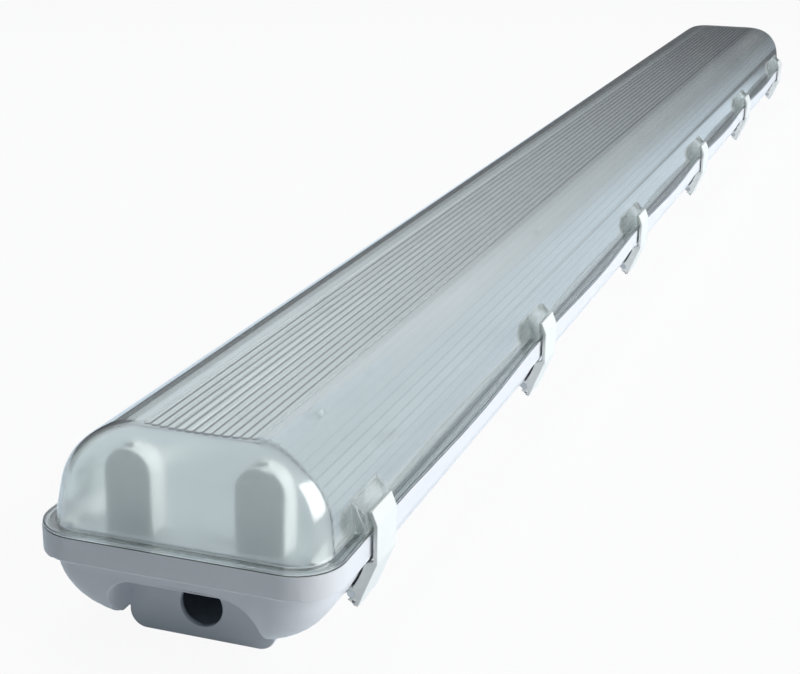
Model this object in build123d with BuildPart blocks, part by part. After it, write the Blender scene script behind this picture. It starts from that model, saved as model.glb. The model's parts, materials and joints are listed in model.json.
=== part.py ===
from build123d import *
import os
from math import acos, asin, atan2, cos, hypot, radians, sin, sqrt, tan

os.makedirs("parts", exist_ok=True)

# Twin-lamp vapor tight light fixture, in millimetres, lying on its back with the lens upwards.
# X runs along the fixture with the open cable entry at -X, and Y runs across it.
# The origin is the middle of the mounting face under the plinth.

# Overall sizes
LENGTH = 1570.0
WIDTH = 142.0
PARTING = 52.0
LENS_RISE = 46.0

# Housing moulding
WALL = 3.0
RIM_BAND = 11.5
RIM_WIDTH = 9.0
RIM_CORNER = 22.0
GROOVE_OUTER_WALL = 2.5
GROOVE_WIDTH = 4.0
GROOVE_DEPTH = 6.0
BODY_INSET = 3.2
BODY_CORNER = 25.0
BODY_FOOT_CORNER = 10.5
FLANK_DEPTH = 29.5
FLANK_BULGE = 6.2
END_FLANK_DEPTH = 15.3
END_FLANK_BULGE = 4.3
FLANK_STEPS = 6
FLANK_TAPER = 1.0
LOBE_BASE = 10.0
PLINTH_WIDTH = 71.0
PLINTH_EDGE = 8.0
POCKET_DEPTH = 27.5
POCKET_BELOW_RIM = 17.5
POCKET_CORNER = 15.0
ENTRY_RADIUS = 10.25
ENTRY_HEIGHT = 16.0
KNOCKOUT_LINE = 1.0
KNOCKOUT_DEPTH = 0.8
FIXING_FROM_END = 235.0
FIXING_RADIUS = 3.0
SEAL_RADIUS = 8.0
SEAL_THICK = 2.0

# Gasket in the rim groove
GASKET_HEIGHT = 2.8
GASKET_SIDE_CLEAR = 0.3

# Lens moulding
LENS_WALL = 2.2
FLANGE_WIDTH = 5.1
FLANGE_THICK = 2.0
FLANGE_SET_IN = 0.3
SIDE_DRAFT = radians(8)
SIDE_CROWN = 33.5
END_DRAFT = radians(12)
END_CROWN = 16.0
FOOT_CORNER = 17.5
CROWN_CORNER = 9.0
CROWN_STEPS = 6
TONGUE_WIDTH = 2.6
SEAT_WIDTH = 30.0
SEAT_TOP = 10.6
SEAT_RISE = 17.0
FIN_SPACING = 32.0
FIN_THICK = 1.5
FIN_TOP = 14.0

# Clips along both long sides
CLIPS_PER_SIDE = 6
CLIP_END_OFFSET = 62.5
CLIP_WIDTH = 25.0
CLIP_THICK = 2.0
CLIP_GAP = 1.3
CLIP_BEND = 3.0
CLIP_CLEAR = 0.3
LIP_START = 4.5
LIP_TOP = 11.0
LIP_LEAN = radians(21.6)
KNEE_DROP = 1.7
CHEEK_THICK = 2.2
CHEEK_CLEAR = 1.0
CHEEK_DROP = 0.5
CHEEK_SHOULDER = 2.5
HINGE_BELOW_BAND = 16.6
HINGE_STANDOFF = 2.4
HINGE_PIN_RADIUS = 1.8
HINGE_PIN_FIT = 0.03
CLIP_PIN_FIT = 0.08
HOOK_RADIUS = 3.5
HOOK_MOUTH = 3.1
NICHE_CLEAR = 0.45
LUG_RADIUS = 3.0
LUG_ROOT = 3.8
LUG_CLEAR = 0.35
LUG_SIDE_CLEAR = 0.4
TAIL_LENGTH = 4.4
TAIL_INNER = 1.6
TAIL_INNER_DROP = 3.7
TAIL_HOLE_RADIUS = 0.8
TAIL_HOLE_OUT = 2.5
TAIL_HOLE_DROP = 2.9

# Gear tray
TRAY_BELOW_RIM = 3.0
TRAY_SHEET = 0.8
TRAY_SIDE_CLEAR = 6.0
TRAY_END_CLEAR = 8.0
TRAY_SIDE = 8.0
TRAY_FIXING_FROM_END = 148.0
TRAY_FIXING_FROM_SIDE = 18.0
BOSS_RADIUS = 4.0
SCREW_RADIUS = 2.0
SCREW_HEAD_RADIUS = 3.6
SCREW_HEAD_HEIGHT = 2.4
SCREW_LENGTH = 12.0
SCREW_FIT = 0.05
SCREW_TIP_CLEAR = 1.0
DRIVE_SLOT = 1.0
DRIVE_DEPTH = 1.2

# Lampholders, two at each end
LAMP_FROM_END = 35.0
LAMP_FROM_SIDE = 40.0
HOLDER_WIDTH = 23.0
HOLDER_TOP_CLEAR = 6.7
HOLDER_DEPTH = 12.0
HOLDER_EDGE = 1.2
HOLDER_FOOT_ACROSS = 14.0
HOLDER_FOOT_ALONG = 7.0
HOLDER_FOOT_REACH = 8.0
HOLDER_FOOT_CLEAR = 0.3
HOLDER_NUB_ACROSS = 4.5
HOLDER_NUB_ALONG = 5.0
HOLDER_NUB_HEIGHT = 1.6
ROTOR_RADIUS = 8.5
ROTOR_DEPTH = 6.0
ROTOR_PROUD = 0.6
ROTOR_FIT = 0.08
ROTOR_END_CLEAR = 0.15
HUB_RADIUS = 2.5
HUB_LENGTH = 3.0
PIN_SLOT = 3.2
PIN_SLOT_DEPTH = 5.0
LAMP_PIN_SPACING = 12.7
CONTACT_THICK = 0.8
CONTACT_HEIGHT = 9.0
CONTACT_WIDTH = 3.5
CONTACT_CLEAR = 0.1

# Ballast, terminal block and wiring under the tray
BALLAST_LENGTH = 360.0
BALLAST_WIDTH = 40.0
BALLAST_HEIGHT = 28.0
BALLAST_EDGE = 2.0
BALLAST_EAR = 12.0
BALLAST_EAR_THICK = 2.0
CONNECTOR_LENGTH = 9.0
CONNECTOR_HEIGHT = 12.0
TERMINAL_FROM_END = 110.0
TERMINAL_LENGTH = 22.0
TERMINAL_WIDTH = 32.0
TERMINAL_HEIGHT = 17.0
TERMINAL_PITCH = 10.0
TERMINAL_PEG_RADIUS = 2.0
TERMINAL_SCREW_RADIUS = 1.8
TERMINAL_SCREW_DEPTH = 5.0
EARTH_FROM_TERMINAL = 75.0
EARTH_TAG_RADIUS = 4.5
EARTH_TAG_LENGTH = 18.0
EARTH_BARREL = 9.0
EARTH_TAG_THICK = 0.8
WIRE_DIAMETER = 2.6
WIRE_BELOW_TRAY = 4.5
WIRE_BEND = 40.0
WIRE_RAMP = 40.0
LAMP_WIRE_DIAMETER = 3.6
WIRE_CLEAR = 1.4

# Sizes worked out from those above
half_length = LENGTH / 2
half_width = WIDTH / 2
band_base = PARTING - RIM_BAND
body_half_length = half_length - BODY_INSET
body_half_width = half_width - BODY_INSET
rim_step = RIM_WIDTH - BODY_INSET
plinth_length = LENGTH - 2 * POCKET_DEPTH
pocket_top = PARTING - POCKET_BELOW_RIM
groove_floor = PARTING - GROOVE_DEPTH
groove_middle = GROOVE_OUTER_WALL + GROOVE_WIDTH / 2
lobe_floor = LOBE_BASE + WALL
tray_top = PARTING - TRAY_BELOW_RIM
tray_under = tray_top - TRAY_SHEET
tray_half_length = half_length - RIM_WIDTH - TRAY_END_CLEAR
tray_half_width = half_width - RIM_WIDTH - TRAY_SIDE_CLEAR
lens_top = PARTING + LENS_RISE
lamp_face = half_length - LAMP_FROM_END
lamp_y = half_width - LAMP_FROM_SIDE
holder_height = lens_top - LENS_WALL - HOLDER_TOP_CLEAR - HOLDER_NUB_HEIGHT - tray_top
lamp_rise = holder_height - HOLDER_WIDTH / 2
fixing_x = half_length - FIXING_FROM_END
through_wall = 4 * WALL
clip_pitch = (LENGTH - 2 * CLIP_END_OFFSET) / (CLIPS_PER_SIDE - 1)
clip_stations = [CLIP_END_OFFSET - half_length + n * clip_pitch for n in range(CLIPS_PER_SIDE)]
sides = {"front": -1, "back": 1}
ends = {"entry": -1, "far": 1}

# Places on the gear tray
holder_x = lamp_face + HOLDER_DEPTH / 2
holder_spots = [(end * holder_x, side * lamp_y) for end in ends.values() for side in sides.values()]
tray_screw_x = tray_half_length - TRAY_FIXING_FROM_END
tray_screw_y = tray_half_width - TRAY_FIXING_FROM_SIDE
tray_screw_spots = [(x, side * tray_screw_y) for x in (-tray_screw_x, 0.0, tray_screw_x)
                    for side in sides.values()]
ballast_screw_x = (BALLAST_LENGTH + BALLAST_EAR) / 2
ballast_screw_spots = [(-ballast_screw_x, 0.0), (ballast_screw_x, 0.0)]
terminal_x = TERMINAL_FROM_END - half_length
earth_x = terminal_x + EARTH_FROM_TERMINAL
earth_spot = (earth_x, TERMINAL_PITCH)


def flank_arc(reach, depth, bulge, floor):
    """Centre and radius of an arched flank in section, from the band down to a foot set in by depth."""
    drop = band_base - floor
    chord = hypot(depth, drop)
    radius = (chord**2 / 4 + bulge**2) / (2 * bulge)
    middle = Vector(reach - depth / 2, floor + drop / 2)
    return middle + Vector(-drop, depth) * ((radius - bulge) / chord), radius


# The housing flank in section, in outward and upward coordinates
flank_centre, flank_radius = flank_arc(body_half_width, FLANK_DEPTH, FLANK_BULGE, LOBE_BASE)


def polar(angle, distance):
    """Offset in a section, from an angle above the outward direction and a distance."""
    return Vector(cos(angle), sin(angle)) * distance


def flank_angle(height, clearance=0.0):
    """Angle about the centre of the flank arc at which the flank, offset outwards, has this height."""
    return asin((height - flank_centre.Y) / (flank_radius + clearance))


# The clip hinge and the bent strip of the clip, in the same section
hinge_angle = flank_angle(band_base - HINGE_BELOW_BAND)
hinge = flank_centre + polar(hinge_angle, flank_radius + HINGE_STANDOFF)
plate_inner = half_width + CLIP_GAP
plate_middle = plate_inner + CLIP_THICK / 2
knee = Vector(plate_middle, band_base - KNEE_DROP)
strip_reach = LUG_RADIUS + LUG_CLEAR + CLIP_THICK / 2
to_knee = knee - hinge
strip_angle = atan2(to_knee.Y, to_knee.X) - acos(strip_reach / to_knee.length)
strip_out = polar(strip_angle, 1.0)
strip_down = polar(strip_angle - radians(90), 1.0)
strip_end = hinge + strip_out * strip_reach + strip_down * TAIL_LENGTH
lip_bend_rise = CLIP_THICK / 2 * (1 / cos(LIP_LEAN) - 1) / tan(LIP_LEAN)
lip_bend = Vector(plate_middle, PARTING + LIP_START + lip_bend_rise)
lip_height = LIP_TOP - LIP_START - lip_bend_rise
lip_tip = lip_bend + Vector(-tan(LIP_LEAN), 1) * lip_height
seat_outer = half_width - FLANGE_SET_IN
seat_face_at_start = plate_inner - CLIP_CLEAR / cos(LIP_LEAN)
seat_bend = PARTING + LIP_START + (seat_face_at_start - seat_outer) / tan(LIP_LEAN)
seat_top_outer = seat_face_at_start - (SEAT_TOP - LIP_START) * tan(LIP_LEAN)


def save(part, name):
    """Label a finished piece and write it under its own name."""
    part.label = name
    export_step(part, f"parts/{name}.step")


def side_plane(x, side):
    """Section plane across the fixture whose first axis points outwards on one side."""
    return Plane((x, 0, 0), x_dir=(0, side, 0), z_dir=(side, 0, 0))


def lamp_plane(end, y):
    """Plane on the lamp side of a lampholder, with its second axis upwards from the tray."""
    return Plane((end * lamp_face, y, tray_top), x_dir=(0, -end, 0), z_dir=(-end, 0, 0))


def clip_points():
    """Every hinge as a station along X and a side."""
    return [(x, side) for side in sides.values() for x in clip_stations]


def tub(inset, foot_inset, floor):
    """Body below the band with arched flanks, moved in by an inset at its top and another at its foot."""
    half_x = body_half_length - inset
    half_y = body_half_width - inset
    narrowing = foot_inset - inset
    side_centre, side_radius = flank_arc(half_y, FLANK_DEPTH + narrowing, FLANK_BULGE, floor)
    end_centre, end_radius = flank_arc(half_x, END_FLANK_DEPTH + narrowing, END_FLANK_BULGE, floor)
    low = asin((floor - side_centre.Y) / side_radius)
    high = asin((band_base - side_centre.Y) / side_radius)
    foot_corner = BODY_FOOT_CORNER - foot_inset
    top_corner = BODY_CORNER - inset
    with BuildPart() as solid:
        for n in range(FLANK_STEPS + 1):
            share = n / FLANK_STEPS
            angle = low + (high - low) * share
            rise = side_radius * sin(angle) + side_centre.Y - end_centre.Y
            with BuildSketch(Plane.XY.offset(end_centre.Y + rise)):
                RectangleRounded(2 * (end_centre.X + sqrt(end_radius**2 - rise**2)),
                                 2 * (side_centre.X + side_radius * cos(angle)),
                                 foot_corner + (top_corner - foot_corner) * share)
        loft()
    return solid.part


def end_arch(wall):
    """Both gland pockets as solids, grown by a wall thickness."""
    with BuildPart() as arch:
        for end in ends.values():
            end_plane = Plane((end * half_length, 0, 0), x_dir=(0, -end, 0), z_dir=(-end, 0, 0))
            with BuildSketch(end_plane) as mouth:
                Rectangle(PLINTH_WIDTH + 2 * wall, pocket_top + wall, align=(Align.CENTER, Align.MIN))
                fillet(mouth.vertices().group_by(Axis.Y)[-1], POCKET_CORNER + wall)
            extrude(amount=POCKET_DEPTH + wall)
    return arch.part


def rim_ring(outer, inner, base, height):
    """Ring that follows the rim between two distances in from its edge."""
    with BuildPart() as ring:
        with BuildSketch(Plane.XY.offset(base)):
            RectangleRounded(LENGTH - 2 * outer, WIDTH - 2 * outer, RIM_CORNER - outer)
            RectangleRounded(LENGTH - 2 * inner, WIDTH - 2 * inner, RIM_CORNER - inner,
                             mode=Mode.SUBTRACT)
        extrude(amount=height)
    return ring.part


# Housing: moulded tub with two lobes, a plinth, a gasket groove, gland pockets, hinge lugs and bosses
with BuildPart() as cavity:
    add(tub(rim_step, FLANK_TAPER, lobe_floor))
    with BuildSketch(Plane.XY.offset(WALL)):
        Rectangle(plinth_length - 2 * WALL, PLINTH_WIDTH - 2 * WALL)
    extrude(amount=LOBE_BASE)
    fillet(cavity.faces().sort_by(Axis.Z)[0].edges().filter_by(Axis.X), PLINTH_EDGE - WALL)
    add(end_arch(WALL), mode=Mode.SUBTRACT)
    with BuildSketch(Plane.XY.offset(band_base)):
        RectangleRounded(LENGTH - 2 * RIM_WIDTH, WIDTH - 2 * RIM_WIDTH, RIM_CORNER - RIM_WIDTH)
    extrude(amount=RIM_BAND)

with BuildPart() as housing:
    add(tub(0.0, 0.0, LOBE_BASE))
    with BuildSketch(Plane.XY.offset(band_base)):
        RectangleRounded(LENGTH, WIDTH, RIM_CORNER)
    extrude(amount=RIM_BAND)
    with BuildSketch():
        Rectangle(plinth_length, PLINTH_WIDTH)
    extrude(amount=lobe_floor)
    fillet(housing.faces().sort_by(Axis.Z)[0].edges().filter_by(Axis.X), PLINTH_EDGE)
    add(end_arch(0.0), mode=Mode.SUBTRACT)
    add(cavity.part, mode=Mode.SUBTRACT)
    add(rim_ring(GROOVE_OUTER_WALL, GROOVE_OUTER_WALL + GROOVE_WIDTH, groove_floor, GROOVE_DEPTH),
        mode=Mode.SUBTRACT)
    with Locations((half_length * ends["entry"] + POCKET_DEPTH, 0, ENTRY_HEIGHT)):
        Cylinder(ENTRY_RADIUS, through_wall, rotation=(0, 90, 0), mode=Mode.SUBTRACT)
    with BuildSketch(Plane((half_length - POCKET_DEPTH, 0, ENTRY_HEIGHT), z_dir=(-1, 0, 0))):
        Circle(ENTRY_RADIUS + KNOCKOUT_LINE)
        Circle(ENTRY_RADIUS, mode=Mode.SUBTRACT)
    extrude(amount=-KNOCKOUT_DEPTH, mode=Mode.SUBTRACT)
    with Locations((-fixing_x, 0, 0), (fixing_x, 0, 0)):
        Cylinder(FIXING_RADIUS, through_wall, mode=Mode.SUBTRACT)
    with BuildSketch(Plane.XY.offset(tray_under)):
        with Locations(*tray_screw_spots):
            Circle(BOSS_RADIUS)
    extrude(amount=lobe_floor - WALL / 2 - tray_under)
    with BuildSketch(Plane.XY.offset(tray_under)):
        with Locations(*tray_screw_spots):
            Circle(SCREW_RADIUS + SCREW_FIT)
    extrude(amount=-SCREW_LENGTH - SCREW_TIP_CLEAR, mode=Mode.SUBTRACT)
    for x, side in clip_points():
        with Locations((x, side * hinge.X, hinge.Y)):
            Cylinder(HOOK_RADIUS + NICHE_CLEAR, CLIP_WIDTH + 2 * NICHE_CLEAR, rotation=(0, 90, 0),
                     mode=Mode.SUBTRACT)
    for x, side in clip_points():
        inward = polar(hinge_angle, -1.0)
        lug_plane = Plane((x, side * hinge.X, hinge.Y), x_dir=(0, side * inward.X, inward.Y),
                          z_dir=(side, 0, 0))
        with BuildSketch(lug_plane):
            Circle(LUG_RADIUS)
            Rectangle(LUG_ROOT, 2 * LUG_RADIUS, align=(Align.MIN, Align.CENTER))
        extrude(amount=CLIP_WIDTH / 2 - CHEEK_THICK - LUG_SIDE_CLEAR, both=True)
    for x, side in clip_points():
        with Locations((x, side * hinge.X, hinge.Y)):
            Cylinder(HINGE_PIN_RADIUS + HINGE_PIN_FIT, CLIP_WIDTH, rotation=(0, 90, 0),
                     mode=Mode.SUBTRACT)
save(housing.part, "housing")

with BuildPart() as clip_hinge_pins:
    for x, side in clip_points():
        with Locations((x, side * hinge.X, hinge.Y)):
            Cylinder(HINGE_PIN_RADIUS, CLIP_WIDTH, rotation=(0, 90, 0))
save(clip_hinge_pins.part, "clip_hinge_pins")

with BuildPart() as fixing_seals:
    with BuildSketch(Plane.XY.offset(WALL)):
        with Locations((-fixing_x, 0), (fixing_x, 0)):
            Circle(SEAL_RADIUS)
            Circle(FIXING_RADIUS, mode=Mode.SUBTRACT)
    extrude(amount=SEAL_THICK)
save(fixing_seals.part, "fixing_seals")

gasket = rim_ring(GROOVE_OUTER_WALL + GASKET_SIDE_CLEAR,
                  GROOVE_OUTER_WALL + GROOVE_WIDTH - GASKET_SIDE_CLEAR, groove_floor, GASKET_HEIGHT)
save(gasket, "gasket")


# Lens: drafted clear shell with a round crown, a flange with a tongue into the groove, and clip seats
def lens_reach(z, foot, draft, crown, top):
    """Distance from the middle of the lens to a drafted wall with a round crown, at a height."""
    crown_z = top - crown
    tangent_z = crown_z + crown * sin(draft)
    wall_z = min(z, tangent_z)
    reach = foot - (wall_z - PARTING) * tan(draft)
    if z > tangent_z:
        reach += sqrt(max(crown**2 - (z - crown_z) ** 2, 0.0)) - crown * cos(draft)
    return reach


def lens_shell(inset, base):
    """The closed form of the lens, moved in by inset, from a base height to its flat top."""
    top = lens_top - inset
    side_crown = SIDE_CROWN - inset
    end_crown = END_CROWN - inset
    side_foot = half_width - FLANGE_WIDTH - inset / cos(SIDE_DRAFT)
    end_foot = half_length - FLANGE_WIDTH - inset / cos(END_DRAFT)
    turn = (radians(90) - SIDE_DRAFT) / CROWN_STEPS
    angles = [SIDE_DRAFT + n * turn for n in range(CROWN_STEPS + 1)]
    heights = [base] + [top - side_crown * (1 - sin(angle)) for angle in angles]
    with BuildPart() as shell:
        for n, z in enumerate(heights):
            corner = FOOT_CORNER + (CROWN_CORNER - FOOT_CORNER) * n / (CROWN_STEPS + 1) - inset
            with BuildSketch(Plane.XY.offset(z)):
                RectangleRounded(2 * lens_reach(z, end_foot, END_DRAFT, end_crown, top),
                                 2 * lens_reach(z, side_foot, SIDE_DRAFT, side_crown, top), corner)
        loft()
    return shell.part


with BuildPart() as diffuser:
    add(lens_shell(0.0, PARTING))
    with BuildSketch(Plane.XY.offset(PARTING)):
        RectangleRounded(LENGTH - 2 * FLANGE_SET_IN, WIDTH - 2 * FLANGE_SET_IN,
                         RIM_CORNER - FLANGE_SET_IN)
    extrude(amount=FLANGE_THICK)
    root = half_width - FLANGE_WIDTH - LENS_WALL - SEAT_RISE * tan(SIDE_DRAFT)
    for x, side in clip_points():
        with BuildSketch(side_plane(x, side)):
            with BuildLine():
                Polyline((root, PARTING), (seat_outer, PARTING), (seat_outer, seat_bend),
                         (seat_top_outer, PARTING + SEAT_TOP), (root, PARTING + SEAT_RISE), close=True)
            make_face()
        extrude(amount=SEAT_WIDTH / 2, both=True)
        for fin in (x - FIN_SPACING / 2, x + FIN_SPACING / 2):
            with BuildSketch(side_plane(fin, side)):
                with BuildLine():
                    Polyline((root, PARTING), (seat_outer, PARTING),
                             (seat_outer, PARTING + FLANGE_THICK),
                             (half_width - FLANGE_WIDTH, PARTING + FIN_TOP),
                             (root, PARTING + SEAT_RISE), close=True)
                make_face()
            extrude(amount=FIN_THICK / 2, both=True)
    add(lens_shell(LENS_WALL, PARTING), mode=Mode.SUBTRACT)
    tongue_outer = groove_middle - TONGUE_WIDTH / 2
    add(rim_ring(tongue_outer, tongue_outer + TONGUE_WIDTH, groove_floor + GASKET_HEIGHT,
                 GROOVE_DEPTH - GASKET_HEIGHT))
save(diffuser.part, "diffuser")


# Clips: a bent strip between two cheeks that hook over the hinge pin
def degrees_of(direction):
    """Angle of a section direction, in degrees."""
    return Vector(1, 0).get_signed_angle(direction)


def clip(x, side):
    """One lens clip, closed, at a station along the fixture."""
    shoulder = flank_angle(band_base - CHEEK_SHOULDER, CHEEK_CLEAR)
    hook_top = hinge_angle + HOOK_RADIUS / flank_radius
    inner_edge = [flank_centre + polar(angle, flank_radius + CHEEK_CLEAR)
                  for angle in (shoulder, (shoulder + hook_top) / 2, hook_top)]
    inward = polar(hinge_angle, -1.0)
    with BuildPart() as latch:
        with BuildSketch(side_plane(x, side)):
            with BuildLine():
                FilletPolyline(lip_tip, lip_bend, knee, strip_end, radius=CLIP_BEND)
            trace(line_width=CLIP_THICK)
        extrude(amount=CLIP_WIDTH / 2, both=True)
        for offset_x in (CHEEK_THICK - CLIP_WIDTH, CLIP_WIDTH - CHEEK_THICK):
            with BuildSketch(side_plane(x + offset_x / 2, side)):
                with BuildLine():
                    ThreePointArc(*inner_edge)
                    Polyline(inner_edge[-1], hinge, hinge + strip_down * HOOK_RADIUS,
                             hinge + strip_out * TAIL_INNER + strip_down * TAIL_INNER_DROP, strip_end,
                             knee, (plate_middle, band_base - CHEEK_DROP), inner_edge[0])
                make_face()
                with Locations(hinge):
                    Circle(HOOK_RADIUS)
                    Circle(HINGE_PIN_RADIUS + CLIP_PIN_FIT, mode=Mode.SUBTRACT)
                    Rectangle(2 * HOOK_RADIUS, HOOK_MOUTH, rotation=degrees_of(inward),
                              align=(Align.MIN, Align.CENTER), mode=Mode.SUBTRACT)
                with Locations(hinge + strip_out * TAIL_HOLE_OUT + strip_down * TAIL_HOLE_DROP):
                    Circle(TAIL_HOLE_RADIUS, mode=Mode.SUBTRACT)
            extrude(amount=CHEEK_THICK / 2, both=True)
    return latch.part


for side_name, side in sides.items():
    for number, x in enumerate(clip_stations, start=1):
        save(clip(x, side), f"clip_{side_name}_{number}")


# Gear tray: folded sheet that rests on the bosses and carries the lampholders and the gear below it

with BuildPart() as gear_tray:
    with BuildSketch(side_plane(0, 1)):
        with Locations((0, tray_top)):
            Rectangle(2 * tray_half_width, TRAY_SIDE, align=(Align.CENTER, Align.MAX))
        with Locations((0, tray_under)):
            Rectangle(2 * (tray_half_width - TRAY_SHEET), TRAY_SIDE, align=(Align.CENTER, Align.MAX),
                      mode=Mode.SUBTRACT)
    extrude(amount=tray_half_length, both=True)
    with BuildSketch(Plane.XY.offset(tray_under)):
        with Locations(*holder_spots):
            Rectangle(HOLDER_FOOT_ALONG + 2 * HOLDER_FOOT_CLEAR,
                      HOLDER_FOOT_ACROSS + 2 * HOLDER_FOOT_CLEAR)
        with Locations(*tray_screw_spots, *ballast_screw_spots, earth_spot):
            Circle(SCREW_RADIUS + SCREW_FIT)
        with Locations((terminal_x, 0)):
            Circle(TERMINAL_PEG_RADIUS + SCREW_FIT)
    extrude(amount=TRAY_SHEET, mode=Mode.SUBTRACT)
save(gear_tray.part, "gear_tray")


def tray_screws(spots, length):
    """Slotted pan head screws down through the tray."""
    with BuildPart() as screws:
        with BuildSketch(Plane.XY.offset(tray_top)):
            with Locations(*spots):
                Circle(SCREW_HEAD_RADIUS)
        extrude(amount=SCREW_HEAD_HEIGHT)
        with BuildSketch(Plane.XY.offset(tray_top + SCREW_HEAD_HEIGHT)):
            with Locations(*spots):
                Rectangle(2 * SCREW_HEAD_RADIUS, DRIVE_SLOT)
        extrude(amount=-DRIVE_DEPTH, mode=Mode.SUBTRACT)
        with BuildSketch(Plane.XY.offset(tray_top)):
            with Locations(*spots):
                Circle(SCREW_RADIUS)
        extrude(amount=-length)
    return screws.part


save(tray_screws(tray_screw_spots, SCREW_LENGTH), "tray_screws")
save(tray_screws(ballast_screw_spots, TRAY_SHEET + 2 * BALLAST_EAR_THICK), "ballast_screws")
save(tray_screws([earth_spot], TRAY_SHEET + 2 * EARTH_TAG_THICK), "earth_screw")


# Lampholders: an arched body with a turning rotor and two contact blades behind it
def lampholder(end, y):
    """Arched lampholder body with its rotor bore, contact pockets and foot through the tray."""
    face = lamp_plane(end, y)
    with BuildPart() as body:
        with BuildSketch(face):
            Rectangle(HOLDER_WIDTH, lamp_rise, align=(Align.CENTER, Align.MIN))
            with Locations((0, lamp_rise)):
                Circle(HOLDER_WIDTH / 2)
        extrude(amount=-HOLDER_DEPTH)
        fillet(body.faces().sort_by(Axis.X)[0 if end < 0 else -1].edges().filter_by(
            lambda edge: edge.center().Z > tray_top + HOLDER_EDGE), HOLDER_EDGE)
        with BuildSketch(Plane.XY.offset(tray_top)):
            with Locations((end * holder_x, y)):
                Rectangle(HOLDER_FOOT_ALONG, HOLDER_FOOT_ACROSS)
        extrude(amount=-HOLDER_FOOT_REACH)
        with Locations((end * holder_x, y, tray_top + holder_height - HOLDER_EDGE)):
            Box(HOLDER_NUB_ALONG, HOLDER_NUB_ACROSS, HOLDER_NUB_HEIGHT + HOLDER_EDGE,
                align=(Align.CENTER, Align.CENTER, Align.MIN))
        with BuildSketch(face):
            with Locations((0, lamp_rise)):
                Circle(ROTOR_RADIUS + ROTOR_FIT)
        extrude(amount=-ROTOR_DEPTH, mode=Mode.SUBTRACT)
        with BuildSketch(face):
            with Locations((0, lamp_rise)):
                Rectangle(PIN_SLOT, HOLDER_WIDTH, align=(Align.CENTER, Align.MIN))
        extrude(amount=-PIN_SLOT_DEPTH, mode=Mode.SUBTRACT)
        with BuildSketch(face.offset(-ROTOR_DEPTH)):
            with Locations((0, lamp_rise)):
                Circle(HUB_RADIUS + ROTOR_FIT)
        extrude(amount=-HUB_LENGTH - ROTOR_END_CLEAR, mode=Mode.SUBTRACT)
        with BuildSketch(face.offset(-ROTOR_DEPTH)):
            with Locations((-LAMP_PIN_SPACING / 2, lamp_rise), (LAMP_PIN_SPACING / 2, lamp_rise)):
                Rectangle(CONTACT_THICK + 2 * CONTACT_CLEAR, CONTACT_HEIGHT)
        extrude(amount=-CONTACT_WIDTH - CONTACT_CLEAR, mode=Mode.SUBTRACT)
    return body.part


def rotor(end, y):
    """Rotor disc with its hub and the slot that takes the lamp pins, upright at rest."""
    face = lamp_plane(end, y)
    with BuildPart() as disc:
        with BuildSketch(face.offset(ROTOR_PROUD)):
            with Locations((0, lamp_rise)):
                Circle(ROTOR_RADIUS)
        extrude(amount=-ROTOR_DEPTH - ROTOR_PROUD + ROTOR_END_CLEAR)
        with BuildSketch(face.offset(-ROTOR_DEPTH + ROTOR_END_CLEAR)):
            with Locations((0, lamp_rise)):
                Circle(HUB_RADIUS)
        extrude(amount=-HUB_LENGTH - ROTOR_END_CLEAR)
        with BuildSketch(face.offset(ROTOR_PROUD)):
            with Locations((0, lamp_rise)):
                Rectangle(PIN_SLOT, 2 * ROTOR_RADIUS)
        extrude(amount=-PIN_SLOT_DEPTH, mode=Mode.SUBTRACT)
    return disc.part


for end_name, end in ends.items():
    for side_name, side in sides.items():
        save(lampholder(end, side * lamp_y), f"lampholder_{end_name}_{side_name}")
        save(rotor(end, side * lamp_y), f"rotor_{end_name}_{side_name}")

with BuildPart() as lamp_contacts:
    for x, y in holder_spots:
        with BuildSketch(lamp_plane(x / holder_x, y).offset(-ROTOR_DEPTH - CONTACT_CLEAR)):
            with Locations((-LAMP_PIN_SPACING / 2, lamp_rise), (LAMP_PIN_SPACING / 2, lamp_rise)):
                Rectangle(CONTACT_THICK, CONTACT_HEIGHT - 2 * CONTACT_CLEAR)
        extrude(amount=CONTACT_CLEAR - CONTACT_WIDTH)
save(lamp_contacts.part, "lamp_contacts")


# Ballast hung under the tray by an ear at each end, with a wiring connector on each end face
with BuildPart() as ballast:
    with BuildSketch(Plane.XY.offset(tray_under)):
        Rectangle(BALLAST_LENGTH, BALLAST_WIDTH)
    extrude(amount=-BALLAST_HEIGHT)
    fillet(ballast.edges().filter_by(Axis.X), BALLAST_EDGE)
    with BuildSketch(Plane.XY.offset(tray_under)):
        Rectangle(BALLAST_LENGTH + 2 * BALLAST_EAR, BALLAST_WIDTH / 2)
        with Locations(*ballast_screw_spots):
            Circle(SCREW_RADIUS + SCREW_FIT, mode=Mode.SUBTRACT)
    extrude(amount=-BALLAST_EAR_THICK)
save(ballast.part, "ballast")

connector_height = tray_under - BALLAST_HEIGHT / 2
lamp_wire_start = TERMINAL_PITCH + (WIRE_DIAMETER + LAMP_WIRE_DIAMETER) / 2 + WIRE_CLEAR
connector_width = 2 * (lamp_wire_start + LAMP_WIRE_DIAMETER)
with BuildPart() as ballast_connectors:
    for end in ends.values():
        with Locations((end * (BALLAST_LENGTH + CONNECTOR_LENGTH) / 2, 0, connector_height)):
            Box(CONNECTOR_LENGTH, connector_width, CONNECTOR_HEIGHT)
save(ballast_connectors.part, "ballast_connectors")

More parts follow.
